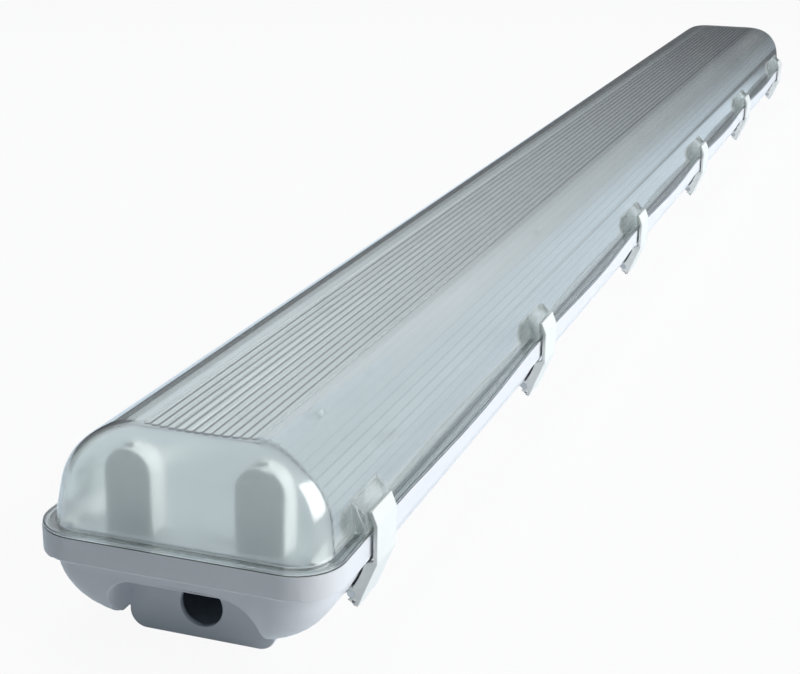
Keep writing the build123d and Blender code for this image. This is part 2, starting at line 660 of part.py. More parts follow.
# Terminal block for the supply, just inside the cable entry
terminal_poles = (-TERMINAL_PITCH, 0.0, TERMINAL_PITCH)
terminal_under = tray_under - TERMINAL_HEIGHT
terminal_middle = tray_under - TERMINAL_HEIGHT / 2
terminal_screw_spots = [(terminal_x + end * TERMINAL_LENGTH / 4, y) for end in ends.values()
                        for y in terminal_poles]
with BuildPart() as terminal_block:
    with Locations((terminal_x, 0, tray_under)):
        Box(TERMINAL_LENGTH, TERMINAL_WIDTH, TERMINAL_HEIGHT,
            align=(Align.CENTER, Align.CENTER, Align.MAX))
        Cylinder(TERMINAL_PEG_RADIUS, 2 * TRAY_SHEET, align=(Align.CENTER, Align.CENTER, Align.MIN))
    with BuildSketch(Plane.XY.offset(terminal_under)):
        with Locations(*terminal_screw_spots):
            Circle(TERMINAL_SCREW_RADIUS + SCREW_FIT)
    extrude(amount=TERMINAL_SCREW_DEPTH, mode=Mode.SUBTRACT)
    with BuildSketch(Plane((terminal_x - TERMINAL_LENGTH / 2, 0, terminal_middle), z_dir=(-1, 0, 0))):
        with Locations(*[(y, 0) for y in terminal_poles]):
            Circle(WIRE_DIAMETER / 2 + SCREW_FIT)
    extrude(amount=-TERMINAL_LENGTH / 2, mode=Mode.SUBTRACT)
save(terminal_block.part, "terminal_block")

with BuildPart() as terminal_screws:
    with BuildSketch(Plane.XY.offset(terminal_under + TERMINAL_SCREW_DEPTH)):
        with Locations(*terminal_screw_spots):
            Circle(TERMINAL_SCREW_RADIUS)
    extrude(amount=DRIVE_DEPTH - TERMINAL_SCREW_DEPTH)
    with BuildSketch(Plane.XY.offset(terminal_under + DRIVE_DEPTH)):
        with Locations(*terminal_screw_spots):
            Rectangle(DRIVE_SLOT, 2 * TERMINAL_SCREW_RADIUS)
    extrude(amount=DRIVE_DEPTH, mode=Mode.SUBTRACT)
save(terminal_screws.part, "terminal_screws")

with BuildPart() as earth_tag:
    with BuildSketch(Plane.XY.offset(tray_under)):
        with Locations(earth_spot):
            Circle(EARTH_TAG_RADIUS)
            Rectangle(EARTH_TAG_LENGTH, EARTH_TAG_RADIUS, align=(Align.MAX, Align.CENTER))
            Circle(SCREW_RADIUS + SCREW_FIT, mode=Mode.SUBTRACT)
    extrude(amount=-EARTH_TAG_THICK)
    with Locations((earth_x - EARTH_TAG_LENGTH, TERMINAL_PITCH, tray_under)):
        Box(EARTH_BARREL, EARTH_TAG_RADIUS, WIRE_BELOW_TRAY + WIRE_DIAMETER / 2,
            align=(Align.MIN, Align.CENTER, Align.MAX))
save(earth_tag.part, "earth_tag")


# Wiring held under the tray: straight runs joined by tangent arcs
def wire(points, diameter):
    """Round wire along a route."""
    with BuildPart() as lead:
        with BuildLine() as route:
            FilletPolyline(*points, radius=WIRE_BEND)
        with BuildSketch(Plane(points[0], z_dir=Vector(*points[1]) - Vector(*points[0]))):
            Circle(diameter / 2)
        sweep(path=route.line)
    return lead.part


run_height = tray_under - WIRE_BELOW_TRAY
terminal_out = terminal_x + TERMINAL_LENGTH / 2
connector_face = BALLAST_LENGTH / 2 + CONNECTOR_LENGTH
with BuildPart() as supply_wires:
    for y in terminal_poles[:2]:
        add(wire([(terminal_out, y, terminal_middle), (terminal_out + WIRE_RAMP / 2, y, terminal_middle),
                  (terminal_out + WIRE_RAMP, y, run_height),
                  (-connector_face - 2 * WIRE_RAMP, y, run_height),
                  (-connector_face - WIRE_RAMP, y, connector_height),
                  (-connector_face, y, connector_height)], WIRE_DIAMETER))
save(supply_wires.part, "supply_wires")

earth_end = earth_x - EARTH_TAG_LENGTH
earth_rise = (earth_end - terminal_out) / 3
earth_wire = wire([(terminal_out, TERMINAL_PITCH, terminal_middle),
                   (terminal_out + earth_rise, TERMINAL_PITCH, terminal_middle),
                   (terminal_out + 2 * earth_rise, TERMINAL_PITCH, run_height),
                   (earth_end, TERMINAL_PITCH, run_height)], WIRE_DIAMETER)
save(earth_wire, "earth_wire")

holder_foot_face = lamp_face + (HOLDER_DEPTH - HOLDER_FOOT_ALONG) / 2
for end_name, end in ends.items():
    with BuildPart() as lamp_wires:
        for side in sides.values():
            start_y = side * lamp_wire_start
            run_y = side * lamp_y
            add(wire([(end * connector_face, start_y, connector_height),
                      (end * (connector_face + WIRE_RAMP), start_y, connector_height),
                      (end * (connector_face + 3 * WIRE_RAMP), run_y, run_height),
                      (end * holder_foot_face, run_y, run_height)], LAMP_WIRE_DIAMETER))
    save(lamp_wires.part, f"lamp_wires_{end_name}")
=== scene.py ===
import bmesh
import bpy
import json
from math import asin, copysign, cos, hypot, pi, radians, sin, sqrt, tan
from mathutils import Matrix, Vector


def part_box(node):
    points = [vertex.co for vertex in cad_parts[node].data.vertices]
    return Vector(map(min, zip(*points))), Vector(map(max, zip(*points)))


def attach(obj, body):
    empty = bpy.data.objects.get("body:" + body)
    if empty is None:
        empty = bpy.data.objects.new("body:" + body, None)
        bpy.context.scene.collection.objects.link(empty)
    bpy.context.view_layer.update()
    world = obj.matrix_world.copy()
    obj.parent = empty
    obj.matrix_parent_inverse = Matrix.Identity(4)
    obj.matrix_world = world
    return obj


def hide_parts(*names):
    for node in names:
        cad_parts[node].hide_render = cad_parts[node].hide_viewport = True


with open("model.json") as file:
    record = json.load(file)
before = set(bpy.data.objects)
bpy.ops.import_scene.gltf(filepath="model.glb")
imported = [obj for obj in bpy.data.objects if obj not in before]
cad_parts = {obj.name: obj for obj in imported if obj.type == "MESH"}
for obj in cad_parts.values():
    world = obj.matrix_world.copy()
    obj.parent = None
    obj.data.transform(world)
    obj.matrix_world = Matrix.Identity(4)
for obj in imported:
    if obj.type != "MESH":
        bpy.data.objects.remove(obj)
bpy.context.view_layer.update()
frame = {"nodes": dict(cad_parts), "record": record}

# Twin-lamp vapor tight light fixture, in metres, lying on its back with the lens upwards.
MM = 0.001

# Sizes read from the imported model
half_length, half_width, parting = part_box("housing")[1]
lens_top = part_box("diffuser")[1].z
clip_low, clip_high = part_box("clip_front_1")
clip_start = (clip_low.x + clip_high.x) / 2
clip_count = sum(name.startswith("clip_front_") for name in frame["nodes"])
clip_pitch = -2 * clip_start / (clip_count - 1)
slots = {part["node"]: part["material_slot"] for part in frame["record"]["subparts"]}
body_of = {node: body for body, nodes in frame["record"]["behaviour"]["bodies"].items() for node in nodes}

# Housing
RIM_BAND = 11.5 * MM
BODY_INSET = 3.2 * MM
BODY_CORNER = 25.0 * MM
BODY_FOOT_CORNER = 10.5 * MM
FLANK_DEPTH = 29.5 * MM
FLANK_BULGE = 6.2 * MM
END_FLANK_DEPTH = 15.3 * MM
END_FLANK_BULGE = 4.3 * MM
LOBE_BASE = 10.0 * MM
PLINTH_WIDTH = 71.0 * MM
POCKET_DEPTH = 27.5 * MM
POCKET_BELOW_RIM = 17.5 * MM
# How far in from the cavity's edges the painted shade on the housing's inner face stops
SHADE_MASK_MARGIN = 1.5 * MM
band_base = parting - RIM_BAND
pocket_face = half_length - POCKET_DEPTH
pocket_half = PLINTH_WIDTH / 2
pocket_top = parting - POCKET_BELOW_RIM

# Lens moulding
LENS_WALL = 2.2 * MM
FLANGE_WIDTH = 5.1 * MM
FLANGE_THICK = 2.0 * MM
FLANGE_SET_IN = 0.3 * MM
FLANGE_EDGE = 0.35 * MM
FLANGE_CORNER = 22.0 * MM
FLANGE_BOW = 2.4 * MM
# Painted shade: a thin dark strip at the parting for the shade line where the lens meets the rim, with the
# flange lifted by its height
SHADE_STRIP_HEIGHT = 0.35 * MM
SHADE_STRIP_IN = 0.45 * MM
SHADE_STRIP_WIDTH = 0.9 * MM
TONGUE_OUTER = 3.2 * MM
TONGUE_WIDTH = 2.6 * MM
TONGUE_DEPTH = 3.2 * MM
SIDE_DRAFT = radians(8)
SIDE_CROWN = 33.5 * MM
END_DRAFT = radians(12)
END_CROWN = 16.0 * MM
FOOT_CORNER = 17.5 * MM
CROWN_CORNER = 9.0 * MM
INNER_CORNER_TRIM = 3.8 * MM
CROWN_STEPS = 6
CAP_EDGE = 0.5 * MM
OUTER_STEPS = 18
WALL_STEPS = 3
CORNER_STEPS = 8
SIDE_SPANS = 40
END_SPANS = 10
LENS_SMOOTH_ANGLE = radians(40)
flange_top = parting + FLANGE_THICK
flange_base = parting + SHADE_STRIP_HEIGHT

# Lengthwise ribs on the inner face of the lens
RIB_PITCH = 4.3 * MM
RIB_DEPTH = 0.3 * MM
RIB_GROOVE = 0.7 * MM
RIB_FADE = 2.6 * MM
RIB_SCALLOP = 1.6 * MM
RIB_CROWN = 0.25
RIB_SMOOTH_ANGLE = radians(25)
RIB_TOP_HALF = 25.0 * MM
RIB_TICK_HALF = 46.0 * MM
RIB_SIDE_RISE = 0.15
RIB_SIDE_MIDDLE = 62.0 * MM
RIB_SIDE_REACH = 20.0 * MM
# Painted shade along the grooves: how dark it stays on the flanks, and its least
RIB_SIDE_SHADE = 0.6
RIB_LEAST_SHADE = 0.05
RIB_LEAST_TICK = 0.25
RIB_END_BEND = 2
RIB_MARKS = (0.0, 0.2, 0.34, 0.5, 0.66, 0.8)
RIB_END_STEPS = tuple(n * MM for n in (0.0, 0.7, 1.4, 2.1, 2.8, 3.6, 4.6, 6.0))
FROST_FADE = 1.6 * MM
RIB_FROST = 0.08
SIDE_FROST = 0.5
SIDE_FROST_START = 30.0 * MM
SIDE_FROST_END = 62.0 * MM
FLANGE_FROST = 1.0
# Painted shade on the flange: lighter at the ends, darker where it bows out between clips
END_FLANGE_SHADE = 0.15
SIDE_FLANGE_SHADE = 0.55

# Edge trims along the gear tray
RIM_WIDTH = 9.0 * MM
TRIM_CLEAR = 0.4 * MM
TRIM_DEPTH = 3.5 * MM
TRIM_BELOW_RIM = 0.3 * MM

# Clip seats and gusset fins on the lens
SEAT_WIDTH = 30.0 * MM
SEAT_BEND = 4.6 * MM
SEAT_TOP = 10.6 * MM
SEAT_TOP_OUT = 1.4 * MM
SEAT_RISE = 17.0 * MM
SEAT_EDGE = 0.6 * MM
FIN_SPACING = 32.0 * MM
FIN_THICK = 1.5 * MM
FIN_TOP = 14.0 * MM

# Rounded edges of moulded and pressed pieces
MERGE_WITHIN = 0.002 * MM
SHARP_ANGLE = radians(32)
HOUSING_EDGE = 0.4 * MM
HOUSING_SOFT_EDGE = 1.2 * MM
EDGE_BAND = 0.6 * MM
RIM_DEEP = 2.0 * MM
FLANK_PROBE = 0.05 * MM
FLANK_WITHIN = 0.4 * MM
FLANK_TURN = radians(20)
CLIP_EDGE = 0.35 * MM
HOLDER_EDGE = 0.6 * MM
EDGE_SEGMENTS = 2
SOFT_EDGE_SEGMENTS = 3

# Grain, streaks and clearness of the finishes
GRAIN_DEPTH = 0.02 * MM
GRAIN_GLOSS = 0.22
CLOUD_SCALE = 22.0
SPECK_SCALE = 420.0
SPECK_SIZE = 0.12
SPECK_SHADE = 0.02
STREAK_DEPTH = 0.01 * MM
STREAK_GLOSS = 0.3
STREAK_SCALE = (60.0, 2400.0, 2400.0)
STREAK_RANGE = (0.2, 0.8)
STREAK_SHADES = (0.8, 1.05)
ENAMEL_PEEL = 0.012 * MM
ENAMEL_COAT = 0.3
CELL_DEPTH = 0.02 * MM
CELL_PALENESS = 1.2
CELL_ROUGHNESS = (0.95, 0.7)
WIRE_WAVE_SCALE = 300.0
WIRE_ROUGHNESS = (0.3, 0.55)
SUPPLY_WIRES_PART = (-6.0 * MM, -4.0 * MM)
EARTH_STRIPE_PART = (9.6 * MM, 10.4 * MM)
LAMP_WIRES_PART = (-10.0 * MM, 10.0 * MM)
LENS_IOR = 1.49
LENS_CLEARNESS = 1.0
SEAT_IOR = 1.12
SEAT_CLEARNESS = 0.8
COAT_IOR = 1.7
COAT_ROUGHNESS = 0.1
CLEAR_ROUGHNESS = 0.02
FROSTED_ROUGHNESS = 0.3
HAZE_SCALE = 14.0
HAZE_TINT = (0.92, 0.95, 0.945, 1.0)
CLEAR_TINT = (0.96, 0.98, 0.975, 1.0)
# Painted shade: dark tint put into the glass along the rib grooves and at the rib ends, for the dark lines
# that refraction in the ribs gives
GROOVE_SHADE_TINT = (0.10, 0.12, 0.12, 1.0)

# Studio: floor, surround and the cards that the lens mirrors
FLOOR_SIZE = 30.0
FLOOR_COLOUR = (0.75, 0.76, 0.77, 1.0)
FLOOR_ROUGHNESS = 0.9
FLOOR_SPECULAR = 0.1
FLOOR_LIFT = 0.93
WHITE = (1.0, 1.0, 1.0, 1.0)
AMBIENT = (0.05, 0.068, 0.078, 1.0)
MIRRORED = (0.68, 0.80, 0.90, 1.0)
SEEN_THROUGH = (0.66, 0.76, 0.80, 1.0)
ROOM_HEIGHT = 2.0
ROOM_TINT = (0.93, 1.0, 1.06)
ROOM_TONES = ((0.0, 0.12), (0.22, 0.13), (0.27, 0.20), (0.36, 0.28), (0.55, 0.45), (0.85, 0.8))
CARD_FOOT = 0.01
CARD_NEAR = -1.2
CARD_FAR = 3.2
CARD_SIDE = -1.2
CARD_SIDE_FULL = -0.2
CARD_BACK = 1.8
FOOT_START = 0.8
FOOT_FULL = 1.4

# Lamps and camera, with the camera's lens and sensor in millimetres
LAMP_AIM = (0.0, 0.0, 0.05)
LAMP_FADE = 0.25
KEY_PLACE = (-0.15, -2.5, 0.95)
KEY_SIZE = (3.6, 2.6)
KEY_POWER = 138.0
TOP_PLACE = (0.2, 0.6, 2.6)
TOP_SIZE = (2.8, 1.4)
TOP_POWER = 58.0
CAMERA_PLACE = (-1.3255, -0.2896, 0.3484)
CAMERA_FORWARD = (0.8974, 0.3134, -0.3106)
CAMERA_ROLL = radians(-0.75)
CAMERA_LENS = 71.77
CAMERA_SENSOR = 36.0
CAMERA_CLIP = (0.01, 100.0)


# Node building
def place(tree, kind, feeds=None, **settings):
    """Add a node, set its properties, and feed its inputs from values or other sockets."""
    made = tree.nodes.new(kind)
    for name, value in settings.items():
        setattr(made, name, value)
    for name, value in (feeds or {}).items():
        if isinstance(value, bpy.types.NodeSocket):
            tree.links.new(value, made.inputs[name])
        else:
            made.inputs[name].default_value = value
    return made


def reckon(tree, operation, first, second=0.0, third=0.0):
    """Result of one arithmetic node."""
    feeds = {0: first, 1: second, 2: third}
    return place(tree, "ShaderNodeMath", feeds, operation=operation).outputs[0]


def noise(tree, where, scale, detail=2.0):
    """Soft noise at some places."""
    feeds = {"Vector": where, "Scale": scale, "Detail": detail}
    return place(tree, "ShaderNodeTexNoise", feeds).outputs["Fac"]


def cells(tree, where, scale):
    """Distance from the nearest of some scattered points."""
    return place(tree, "ShaderNodeTexVoronoi", {"Vector": where, "Scale": scale}).outputs["Distance"]


def own_places(tree):
    """Places on a piece, in the frame of the fixture."""
    return place(tree, "ShaderNodeTexCoord").outputs["Object"]


def ramp(tree, value, low, high, start=0.0, end=1.0, smooth=True):
    """Value moved from the range low to high into the range start to end, and held outside it."""
    curve = "SMOOTHSTEP" if smooth else "LINEAR"
    feeds = {"Value": value, "From Min": low, "From Max": high, "To Min": start, "To Max": end}
    return place(tree, "ShaderNodeMapRange", feeds, interpolation_type=curve).outputs["Result"]


def mix_colour(tree, factor, first, second):
    """Colour between two colours."""
    mixed = place(tree, "ShaderNodeMix", {0: factor}, data_type="RGBA")
    for socket, value in ((mixed.inputs[6], first), (mixed.inputs[7], second)):
        if isinstance(value, bpy.types.NodeSocket):
            tree.links.new(value, socket)
        else:
            socket.default_value = value
    return mixed.outputs[2]


def open_group(name, kind, inputs, outputs):
    """New node group with its sockets, as its tree, its input node and its output node."""
    tree = bpy.data.node_groups.new(name, kind)
    for direction, sockets in (("INPUT", inputs), ("OUTPUT", outputs)):
        for label, socket_type in sockets.items():
            tree.interface.new_socket(label, in_out=direction, socket_type="NodeSocket" + socket_type)
    return tree, place(tree, "NodeGroupInput"), place(tree, "NodeGroupOutput")


# Surface effects shared by the materials
def moulded_grain_group():
    """Moulded plastic: slow mottling of the colour, uneven gloss and a fine grain."""
    tree, given, result = open_group(
        "moulded_grain", "ShaderNodeTree",
        {"Color": "Color", "Mottle": "Float", "Gloss": "Float", "Grain": "Float"},
        {"Color": "Color", "Roughness": "Float", "Height": "Float"})
    where = own_places(tree)
    cloud = noise(tree, where, CLOUD_SCALE, 3.0)
    grain = noise(tree, where, given.outputs["Grain"])
    spot = ramp(tree, cells(tree, where, SPECK_SCALE), 0.0, SPECK_SIZE, 1.0, 0.0)
    tone = reckon(tree, "MULTIPLY_ADD", reckon(tree, "SUBTRACT", cloud, 0.5), given.outputs["Mottle"], 1.0)
    tone = reckon(tree, "SUBTRACT", tone, reckon(tree, "MULTIPLY", spot, SPECK_SHADE))
    tint = place(tree, "ShaderNodeVectorMath", {0: given.outputs["Color"]}, operation="SCALE")
    tree.links.new(tone, tint.inputs["Scale"])
    uneven = reckon(tree, "MULTIPLY", reckon(tree, "SUBTRACT", grain, 0.5), GRAIN_GLOSS)
    tree.links.new(tint.outputs[0], result.inputs["Color"])
    tree.links.new(reckon(tree, "ADD", given.outputs["Gloss"], uneven), result.inputs["Roughness"])
    tree.links.new(grain, result.inputs["Height"])
    return tree


def brushed_group():
    """Drawn or plated metal: streaks along X with small changes of shade and gloss."""
    tree, given, result = open_group(
        "brushed_streaks", "ShaderNodeTree", {"Color": "Color", "Gloss": "Float"},
        {"Color": "Color", "Roughness": "Float", "Height": "Float"})
    stretched = place(tree, "ShaderNodeMapping", {"Vector": own_places(tree), "Scale": STREAK_SCALE})
    streak = noise(tree, stretched.outputs[0], 1.0)
    tint = place(tree, "ShaderNodeVectorMath", {0: given.outputs["Color"]}, operation="SCALE")
    tree.links.new(ramp(tree, streak, *STREAK_RANGE, *STREAK_SHADES, smooth=False), tint.inputs["Scale"])
    uneven = reckon(tree, "MULTIPLY", reckon(tree, "SUBTRACT", streak, 0.5), STREAK_GLOSS)
    tree.links.new(tint.outputs[0], result.inputs["Color"])
    tree.links.new(reckon(tree, "ADD", given.outputs["Gloss"], uneven), result.inputs["Roughness"])
    tree.links.new(streak, result.inputs["Height"])
    return tree


moulded_grain = moulded_grain_group()
brushed_streaks = brushed_group()


# Materials
def new_material(name):
    """Empty node material, as its tree, its Principled shader and its output."""
    made = bpy.data.materials.new(name)
    made.use_nodes = True
    made.node_tree.nodes.clear()
    shader = place(made.node_tree, "ShaderNodeBsdfPrincipled")
    output = place(made.node_tree, "ShaderNodeOutputMaterial", {"Surface": shader.outputs[0]})
    return made, made.node_tree, shader, output


def raise_height(tree, shader, height, depth):
    """Bump the surface by a height field of this depth."""
    bump = place(tree, "ShaderNodeBump", {"Height": height, "Distance": depth})
    tree.links.new(bump.outputs["Normal"], shader.inputs["Normal"])


def place_group(tree, shader, group, depth, values):
    """Dress a shader with a shared surface effect."""
    effect = place(tree, "ShaderNodeGroup", node_tree=group)
    for name, value in values.items():
        effect.inputs[name].default_value = value
    tree.links.new(effect.outputs["Color"], shader.inputs["Base Color"])
    tree.links.new(effect.outputs["Roughness"], shader.inputs["Roughness"])
    raise_height(tree, shader, effect.outputs["Height"], depth)


def grained(tree, shader, colour, mottle, gloss, grain, depth):
    """Dress a shader with the moulded grain."""
    values = {"Color": (*colour, 1.0), "Mottle": mottle, "Gloss": gloss, "Grain": grain}
    place_group(tree, shader, moulded_grain, depth, values)


def moulded_plastic(name, colour, mottle=0.06, gloss=0.4, grain=900.0):
    """Opaque moulded plastic."""
    made, tree, shader, _ = new_material(name)
    grained(tree, shader, colour, mottle, gloss, grain, GRAIN_DEPTH)
    return made


def housing_moulding(colour, inside):
    """Moulded polyester, with painted shade: its inner face under the tray takes a darker colour, standing
    for the shade inside the cavity.
    """
    made, tree, shader, _ = new_material("housing_polyester")
    grained(tree, shader, colour, mottle=0.06, gloss=0.38, grain=700.0, depth=GRAIN_DEPTH)
    # Painted shade: inside the cavity under the tray the colour turns to the darker inside colour
    along = place(tree, "ShaderNodeSeparateXYZ", {0: own_places(tree)})
    painted_shade_mask = reckon(tree, "GREATER_THAN", along.outputs["Z"], SHADE_MASK_MARGIN)
    for axis, limit in (("X", pocket_face), ("Y", pocket_half)):
        off_middle = reckon(tree, "ABSOLUTE", along.outputs[axis])
        painted_shade_mask = reckon(tree, "MULTIPLY", painted_shade_mask, reckon(tree, "LESS_THAN", off_middle, limit - SHADE_MASK_MARGIN))
    outer = shader.inputs["Base Color"].links[0].from_socket
    tree.links.new(mix_colour(tree, painted_shade_mask, outer, (*inside, 1.0)), shader.inputs["Base Color"])
    return made


def plated_metal(name, colour, gloss):
    """Bright metal with drawn streaks."""
    made, tree, shader, _ = new_material(name)
    shader.inputs["Metallic"].default_value = 1.0
    values = {"Color": (*colour, 1.0), "Gloss": gloss}
    place_group(tree, shader, brushed_streaks, STREAK_DEPTH, values)
    return made


def enamelled_sheet(name, colour, gloss):
    """Stoved enamel on sheet steel, with its orange peel."""
    made, tree, shader, _ = new_material(name)
    grained(tree, shader, colour, mottle=0.04, gloss=gloss, grain=260.0, depth=ENAMEL_PEEL)
    shader.inputs["Coat Weight"].default_value = ENAMEL_COAT
    return made


def cellular_rubber(name, colour, cell):
    """Foamed or moulded rubber with open cells."""
    made, tree, shader, _ = new_material(name)
    open_cells = cells(tree, own_places(tree), 1.0 / cell)
    pale = tuple(min(1.0, CELL_PALENESS * part) for part in colour)
    tree.links.new(mix_colour(tree, open_cells, (*pale, 1.0), (*colour, 1.0)), shader.inputs["Base Color"])
    tree.links.new(ramp(tree, open_cells, 0.0, 1.0, *CELL_ROUGHNESS), shader.inputs["Roughness"])
    raise_height(tree, shader, open_cells, CELL_DEPTH)
    return made


def striped_insulation(name, colour, stripe, parting_places):
    """Wire insulation in two colours, which part between two places across the fixture."""
    made, tree, shader, _ = new_material(name)
    where = own_places(tree)
    across = place(tree, "ShaderNodeSeparateXYZ", {0: where}).outputs["Y"]
    share = ramp(tree, across, *parting_places)
    wave = noise(tree, where, WIRE_WAVE_SCALE)
    tree.links.new(mix_colour(tree, share, (*colour, 1.0), (*stripe, 1.0)), shader.inputs["Base Color"])
    tree.links.new(ramp(tree, wave, 0.0, 1.0, *WIRE_ROUGHNESS), shader.inputs["Roughness"])
    return made


def clear_acrylic(name, ior, clearness):
    """Clear acrylic with painted shade as dark lines along the rib grooves, and frosted stretches, which
    lets light through.
    """
    made, tree, shader, output = new_material(name)
    shader.inputs["Transmission Weight"].default_value = clearness
    shader.inputs["IOR"].default_value = ior
    shader.inputs["Coat Weight"].default_value = 1.0
    shader.inputs["Coat IOR"].default_value = COAT_IOR
    shader.inputs["Coat Roughness"].default_value = COAT_ROUGHNESS
    # Painted shade: the stored groove shade darkens the glass colour along the grooves
    groove_shade = place(tree, "ShaderNodeAttribute", attribute_name="groove_shade").outputs["Fac"]
    frost = place(tree, "ShaderNodeAttribute", attribute_name="frost").outputs["Fac"]
    clear = mix_colour(tree, noise(tree, own_places(tree), HAZE_SCALE), HAZE_TINT, CLEAR_TINT)
    rough = ramp(tree, frost, 0.0, 1.0, CLEAR_ROUGHNESS, FROSTED_ROUGHNESS, smooth=False)
    tree.links.new(mix_colour(tree, groove_shade, clear, GROOVE_SHADE_TINT), shader.inputs["Base Color"])
    tree.links.new(rough, shader.inputs["Roughness"])
    rays = place(tree, "ShaderNodeLightPath")
    lets_light = reckon(tree, "MAXIMUM", rays.outputs["Is Shadow Ray"], rays.outputs["Is Diffuse Ray"])
    through = place(tree, "ShaderNodeBsdfTransparent", {"Color": CLEAR_TINT})
    mixed = place(tree, "ShaderNodeMixShader",
                  {0: lets_light, 1: shader.outputs[0], 2: through.outputs[0]})
    tree.links.new(mixed.outputs[0], output.inputs["Surface"])
    return made


lens_clear = clear_acrylic("lens_clear", LENS_IOR, LENS_CLEARNESS)
seat_clear = clear_acrylic("lens_clear_seat", SEAT_IOR, SEAT_CLEARNESS)
finishes = {
    # The second colour is painted shade for the housing's inner face under the tray
    "housing_polyester": housing_moulding((0.80, 0.82, 0.865), (0.50, 0.57, 0.66)),
    "clip_plastic": moulded_plastic("clip_plastic", (0.86, 0.885, 0.87), gloss=0.33, grain=1100.0),
    "lens_clear": lens_clear,
    "pin_steel": plated_metal("pin_steel", (0.60, 0.60, 0.60), 0.35),
    "screw_steel": plated_metal("screw_steel", (0.72, 0.72, 0.70), 0.3),
    "tag_tin": plated_metal("tag_tin", (0.76, 0.76, 0.74), 0.4),
    "contact_brass": plated_metal("contact_brass", (0.80, 0.62, 0.30), 0.3),
    "gasket_foam": cellular_rubber("gasket_foam", (0.07, 0.075, 0.075), 0.6 * MM),
    "seal_rubber": cellular_rubber("seal_rubber", (0.03, 0.03, 0.03), 0.3 * MM),
    "tray_enamel": enamelled_sheet("tray_enamel", (0.66, 0.70, 0.71), 0.3),
    "ballast_case": enamelled_sheet("ballast_case", (0.78, 0.79, 0.80), 0.35),
    "holder_plastic": moulded_plastic("holder_plastic", (0.92, 0.93, 0.91), gloss=0.4),
    "rotor_plastic": moulded_plastic("rotor_plastic", (0.84, 0.85, 0.83), gloss=0.35),
    "connector_plastic": moulded_plastic("connector_plastic", (0.80, 0.80, 0.76), gloss=0.45),
    "wire_supply": striped_insulation("wire_supply", (0.16, 0.07, 0.03), (0.04, 0.12, 0.40),
                                      SUPPLY_WIRES_PART),
    "wire_earth": striped_insulation("wire_earth", (0.10, 0.35, 0.06), (0.75, 0.62, 0.05),
                                     EARTH_STRIPE_PART),
    "wire_lamp": striped_insulation("wire_lamp", (0.82, 0.82, 0.80), (0.78, 0.78, 0.76),
                                    LAMP_WIRES_PART),
}


# Meshes
def finish_object(name, mesh, material_made):
    """New object at the origin with one material."""
    made = bpy.data.objects.new(name, mesh)
    bpy.context.scene.collection.objects.link(made)
    mesh.materials.clear()
    mesh.materials.append(material_made)
    return made


def shade(mesh, angle):
    """Smooth shading, with the edges over an angle kept sharp."""
    mesh.shade_smooth()
    mesh.set_sharp_from_angle(angle=angle)


def freeze(made):
    """Turn an object's modifiers into its plain mesh."""
    graph = bpy.context.evaluated_depsgraph_get()
    plain = bpy.data.meshes.new_from_object(made.evaluated_get(graph))
    made.modifiers.clear()
    made.data = plain


def softened(node, width, soft_width=None, is_soft=None):
    """Copy of a CAD piece with its facets joined and its sharp edges rounded, standing in for the piece."""
    form = bmesh.new()
    form.from_mesh(frame["nodes"][node].data)
    bmesh.ops.remove_doubles(form, verts=form.verts, dist=MERGE_WITHIN)
    if is_soft:
        soft = [edge for edge in sharp_edges(form) if is_soft(edge)]
        bmesh.ops.dissolve_verts(form, verts=crowding(form, soft, soft_width))
        soft = [edge for edge in sharp_edges(form) if is_soft(edge)]
        round_off(form, soft, soft_width, SOFT_EDGE_SEGMENTS)
    long_edges = [edge for edge in sharp_edges(form) if edge.calc_length() > 2 * width]
    round_off(form, long_edges, width, EDGE_SEGMENTS)
    mesh = bpy.data.meshes.new(node + "_form")
    form.to_mesh(mesh)
    form.free()
    shade(mesh, SHARP_ANGLE)
    slot = slots[node]
    made = finish_object(node + "_form", mesh, finishes[slot])
    made.modifiers.new("weighted", "WEIGHTED_NORMAL").keep_sharp = True
    freeze(made)
    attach(made, body_of[node])
    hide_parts(node)
    return made


def sharp_edges(form):
    """Edges of a mesh where its faces turn by more than the sharp angle."""
    folds = [edge for edge in form.edges if len(edge.link_faces) == 2]
    return [edge for edge in folds if edge.calc_face_angle() > SHARP_ANGLE]


def crowding(form, edges, room):
    """Points of the smooth faces beside some edges that leave too little room to round those edges."""
    def is_smooth(point):
        """Whether no edge at a point is a sharp one."""
        return max(edge.calc_face_angle(pi) for edge in point.link_edges) < SHARP_ANGLE

    ends = {point for edge in edges for point in edge.verts}
    spokes = [(point, spoke) for point in ends for spoke in point.link_edges]
    close = {spoke.other_vert(point) for point, spoke in spokes if spoke.calc_length() < room} - ends
    return [point for point in form.verts if point in close and is_smooth(point)]


def round_off(form, edges, width, segments):
    """Round edges of a mesh."""
    bmesh.ops.bevel(form, geom=edges, offset=width, segments=segments, profile=0.5, affect="EDGES",
                    clamp_overlap=False)


# The lens as one closed skin: levels from its top down the outside, round the flange and up the inside
def reach(height, foot, draft, crown, top):
    """Distance from the middle of the lens to a drafted wall with a round crown, at a height."""
    crown_height = top - crown
    tangent = crown_height + crown * sin(draft)
    out = foot - (min(height, tangent) - parting) * tan(draft)
    if height > tangent:
        out += sqrt(max(crown**2 - (height - crown_height) ** 2, 0.0)) - crown * cos(draft)
    return out


